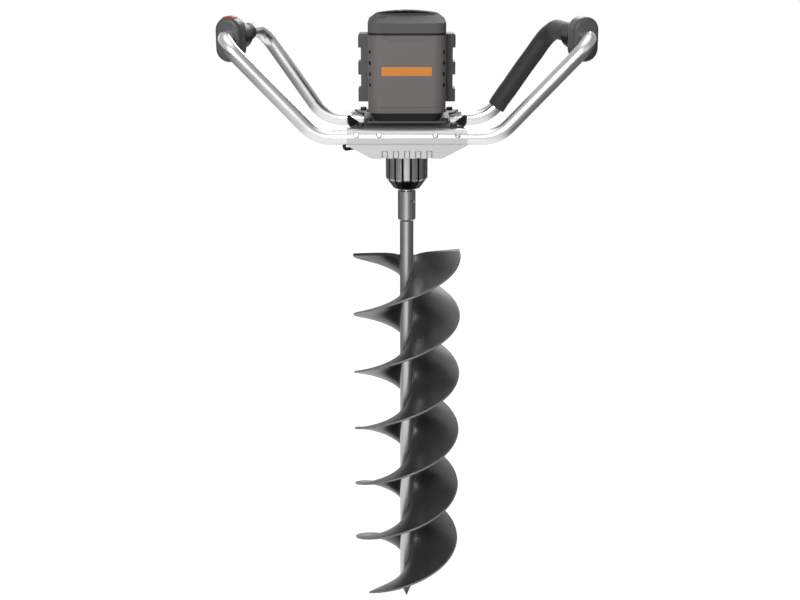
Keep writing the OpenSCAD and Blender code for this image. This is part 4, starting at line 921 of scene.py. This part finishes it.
spring_rise = SPRING_HIGH - SPRING_LOW - 2 * SPRING_WIRE
shape = bmesh.new()
start_edges = ring_across(
    shape, Vector((SPRING_X + SPRING_RADIUS, SPRING_Y, SPRING_LOW + SPRING_WIRE)),
    Vector((0, 1, 0)), SPRING_WIRE, SPRING_SIDES,
)
end_edges = spin_ring(
    shape, start_edges, (SPRING_X, SPRING_Y, 0), (0, 0, 1), 2 * math.pi * SPRING_TURNS,
    SPRING_STEPS, lift=(0, 0, spring_rise / SPRING_STEPS),
)
for edges in (start_edges, end_edges):
    bmesh.ops.contextual_create(shape, geom=edges)
bmesh.ops.recalc_face_normals(shape, faces=shape.faces)
spring = new_piece("lock_spring_coils", shape, bright_steel, body=None)
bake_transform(spring)
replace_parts(spring, "lock_spring")

# %% [markdown]
# ## Small trim
#
# The last pieces are thin plates: a plain amber bar on the front panel, a black inlay in the
# lid's slot and a pale spot on the crown, which is a painted highlight. Behind the notches of
# each saddle stands a dark sheet, painted shade for the notches' dark outlines, with five
# light bars before it. Each plate is a cube moved to its two corners, and most have their
# edges bevelled.


# %% Thin plates
def thin_plate(name, low, high, finish, edge=0.0, body="frame"):
    """A box between two corners. An edge size bevels all its edges."""
    shape = bmesh.new()
    bmesh.ops.create_cube(shape, size=1.0)
    low, high = Vector(low), Vector(high)
    for vert in shape.verts:
        vert.co = Vector([a + (b - a) * (c + 0.5) for a, b, c in zip(low, high, vert.co)])
    if edge:
        bmesh.ops.bevel(
            shape, geom=shape.edges[:] + shape.verts[:], offset=edge, segments=2, profile=0.5,
            affect="EDGES", material=-1,
        )
    return new_piece(name, shape, finish, body=body, smooth=False)


LABEL_LOW = (-0.0439, -0.0764, 1.0388)
LABEL_HIGH = (0.0431, -0.0758, 1.0542)
INLAY_LOW, INLAY_HIGH = (-0.0475, -0.0418, 1.1338), (-0.0340, -0.0322, 1.1349)
# A pale plate on the crown, a painted highlight.
HIGHLIGHT_LOW, HIGHLIGHT_HIGH = (-0.0160, -0.0130, 1.1440), (-0.0070, -0.0080, 1.1452)
# A dark sheet behind each saddle's notches, painted shade for their outlines.
SHADE_SHEET_HALF = 0.055
NOTCH_TRIM_BOTTOM, SHADE_SHEET_TOP = 0.9036, 0.9185
SHADE_SHEET_FACE, SHADE_SHEET_REAR = 0.1190, 0.1182
NOTCHES = 5
NOTCH_PITCH = 0.0192
NOTCH_HALF = 0.0038
NOTCH_TOP = 0.9155
BAR_FACE, BAR_REAR = 0.1199, 0.1191
TRIM_EDGE = 0.0002

thin_plate("label_bar", LABEL_LOW, LABEL_HIGH, label_finish, edge=TRIM_EDGE)
thin_plate("lid_slot_inlay", INLAY_LOW, INLAY_HIGH, screw_finish, body="lid")
thin_plate(
    "painted_crown_highlight", HIGHLIGHT_LOW, HIGHLIGHT_HIGH, crown_highlight_finish, edge=TRIM_EDGE, body="lid",
)
# Each side: the dark sheet of painted shade, then the five light bars.
for side_name, side in (("front", -1), ("rear", 1)):
    near, far = sorted((side * SHADE_SHEET_FACE, side * SHADE_SHEET_REAR))
    thin_plate(
        side_name + "_notch_painted_shade", (-SHADE_SHEET_HALF, near, NOTCH_TRIM_BOTTOM),
        (SHADE_SHEET_HALF, far, SHADE_SHEET_TOP), black_plate,
    )
    near, far = sorted((side * BAR_FACE, side * BAR_REAR))
    for number in range(1, NOTCHES + 1):
        middle = (number - (NOTCHES + 1) / 2) * NOTCH_PITCH
        thin_plate(
            side_name + "_notch_bar_" + str(number), (middle - NOTCH_HALF, near, NOTCH_TRIM_BOTTOM),
            (middle + NOTCH_HALF, far, NOTCH_TOP), rolled, edge=TRIM_EDGE,
        )
print("small trim placed")
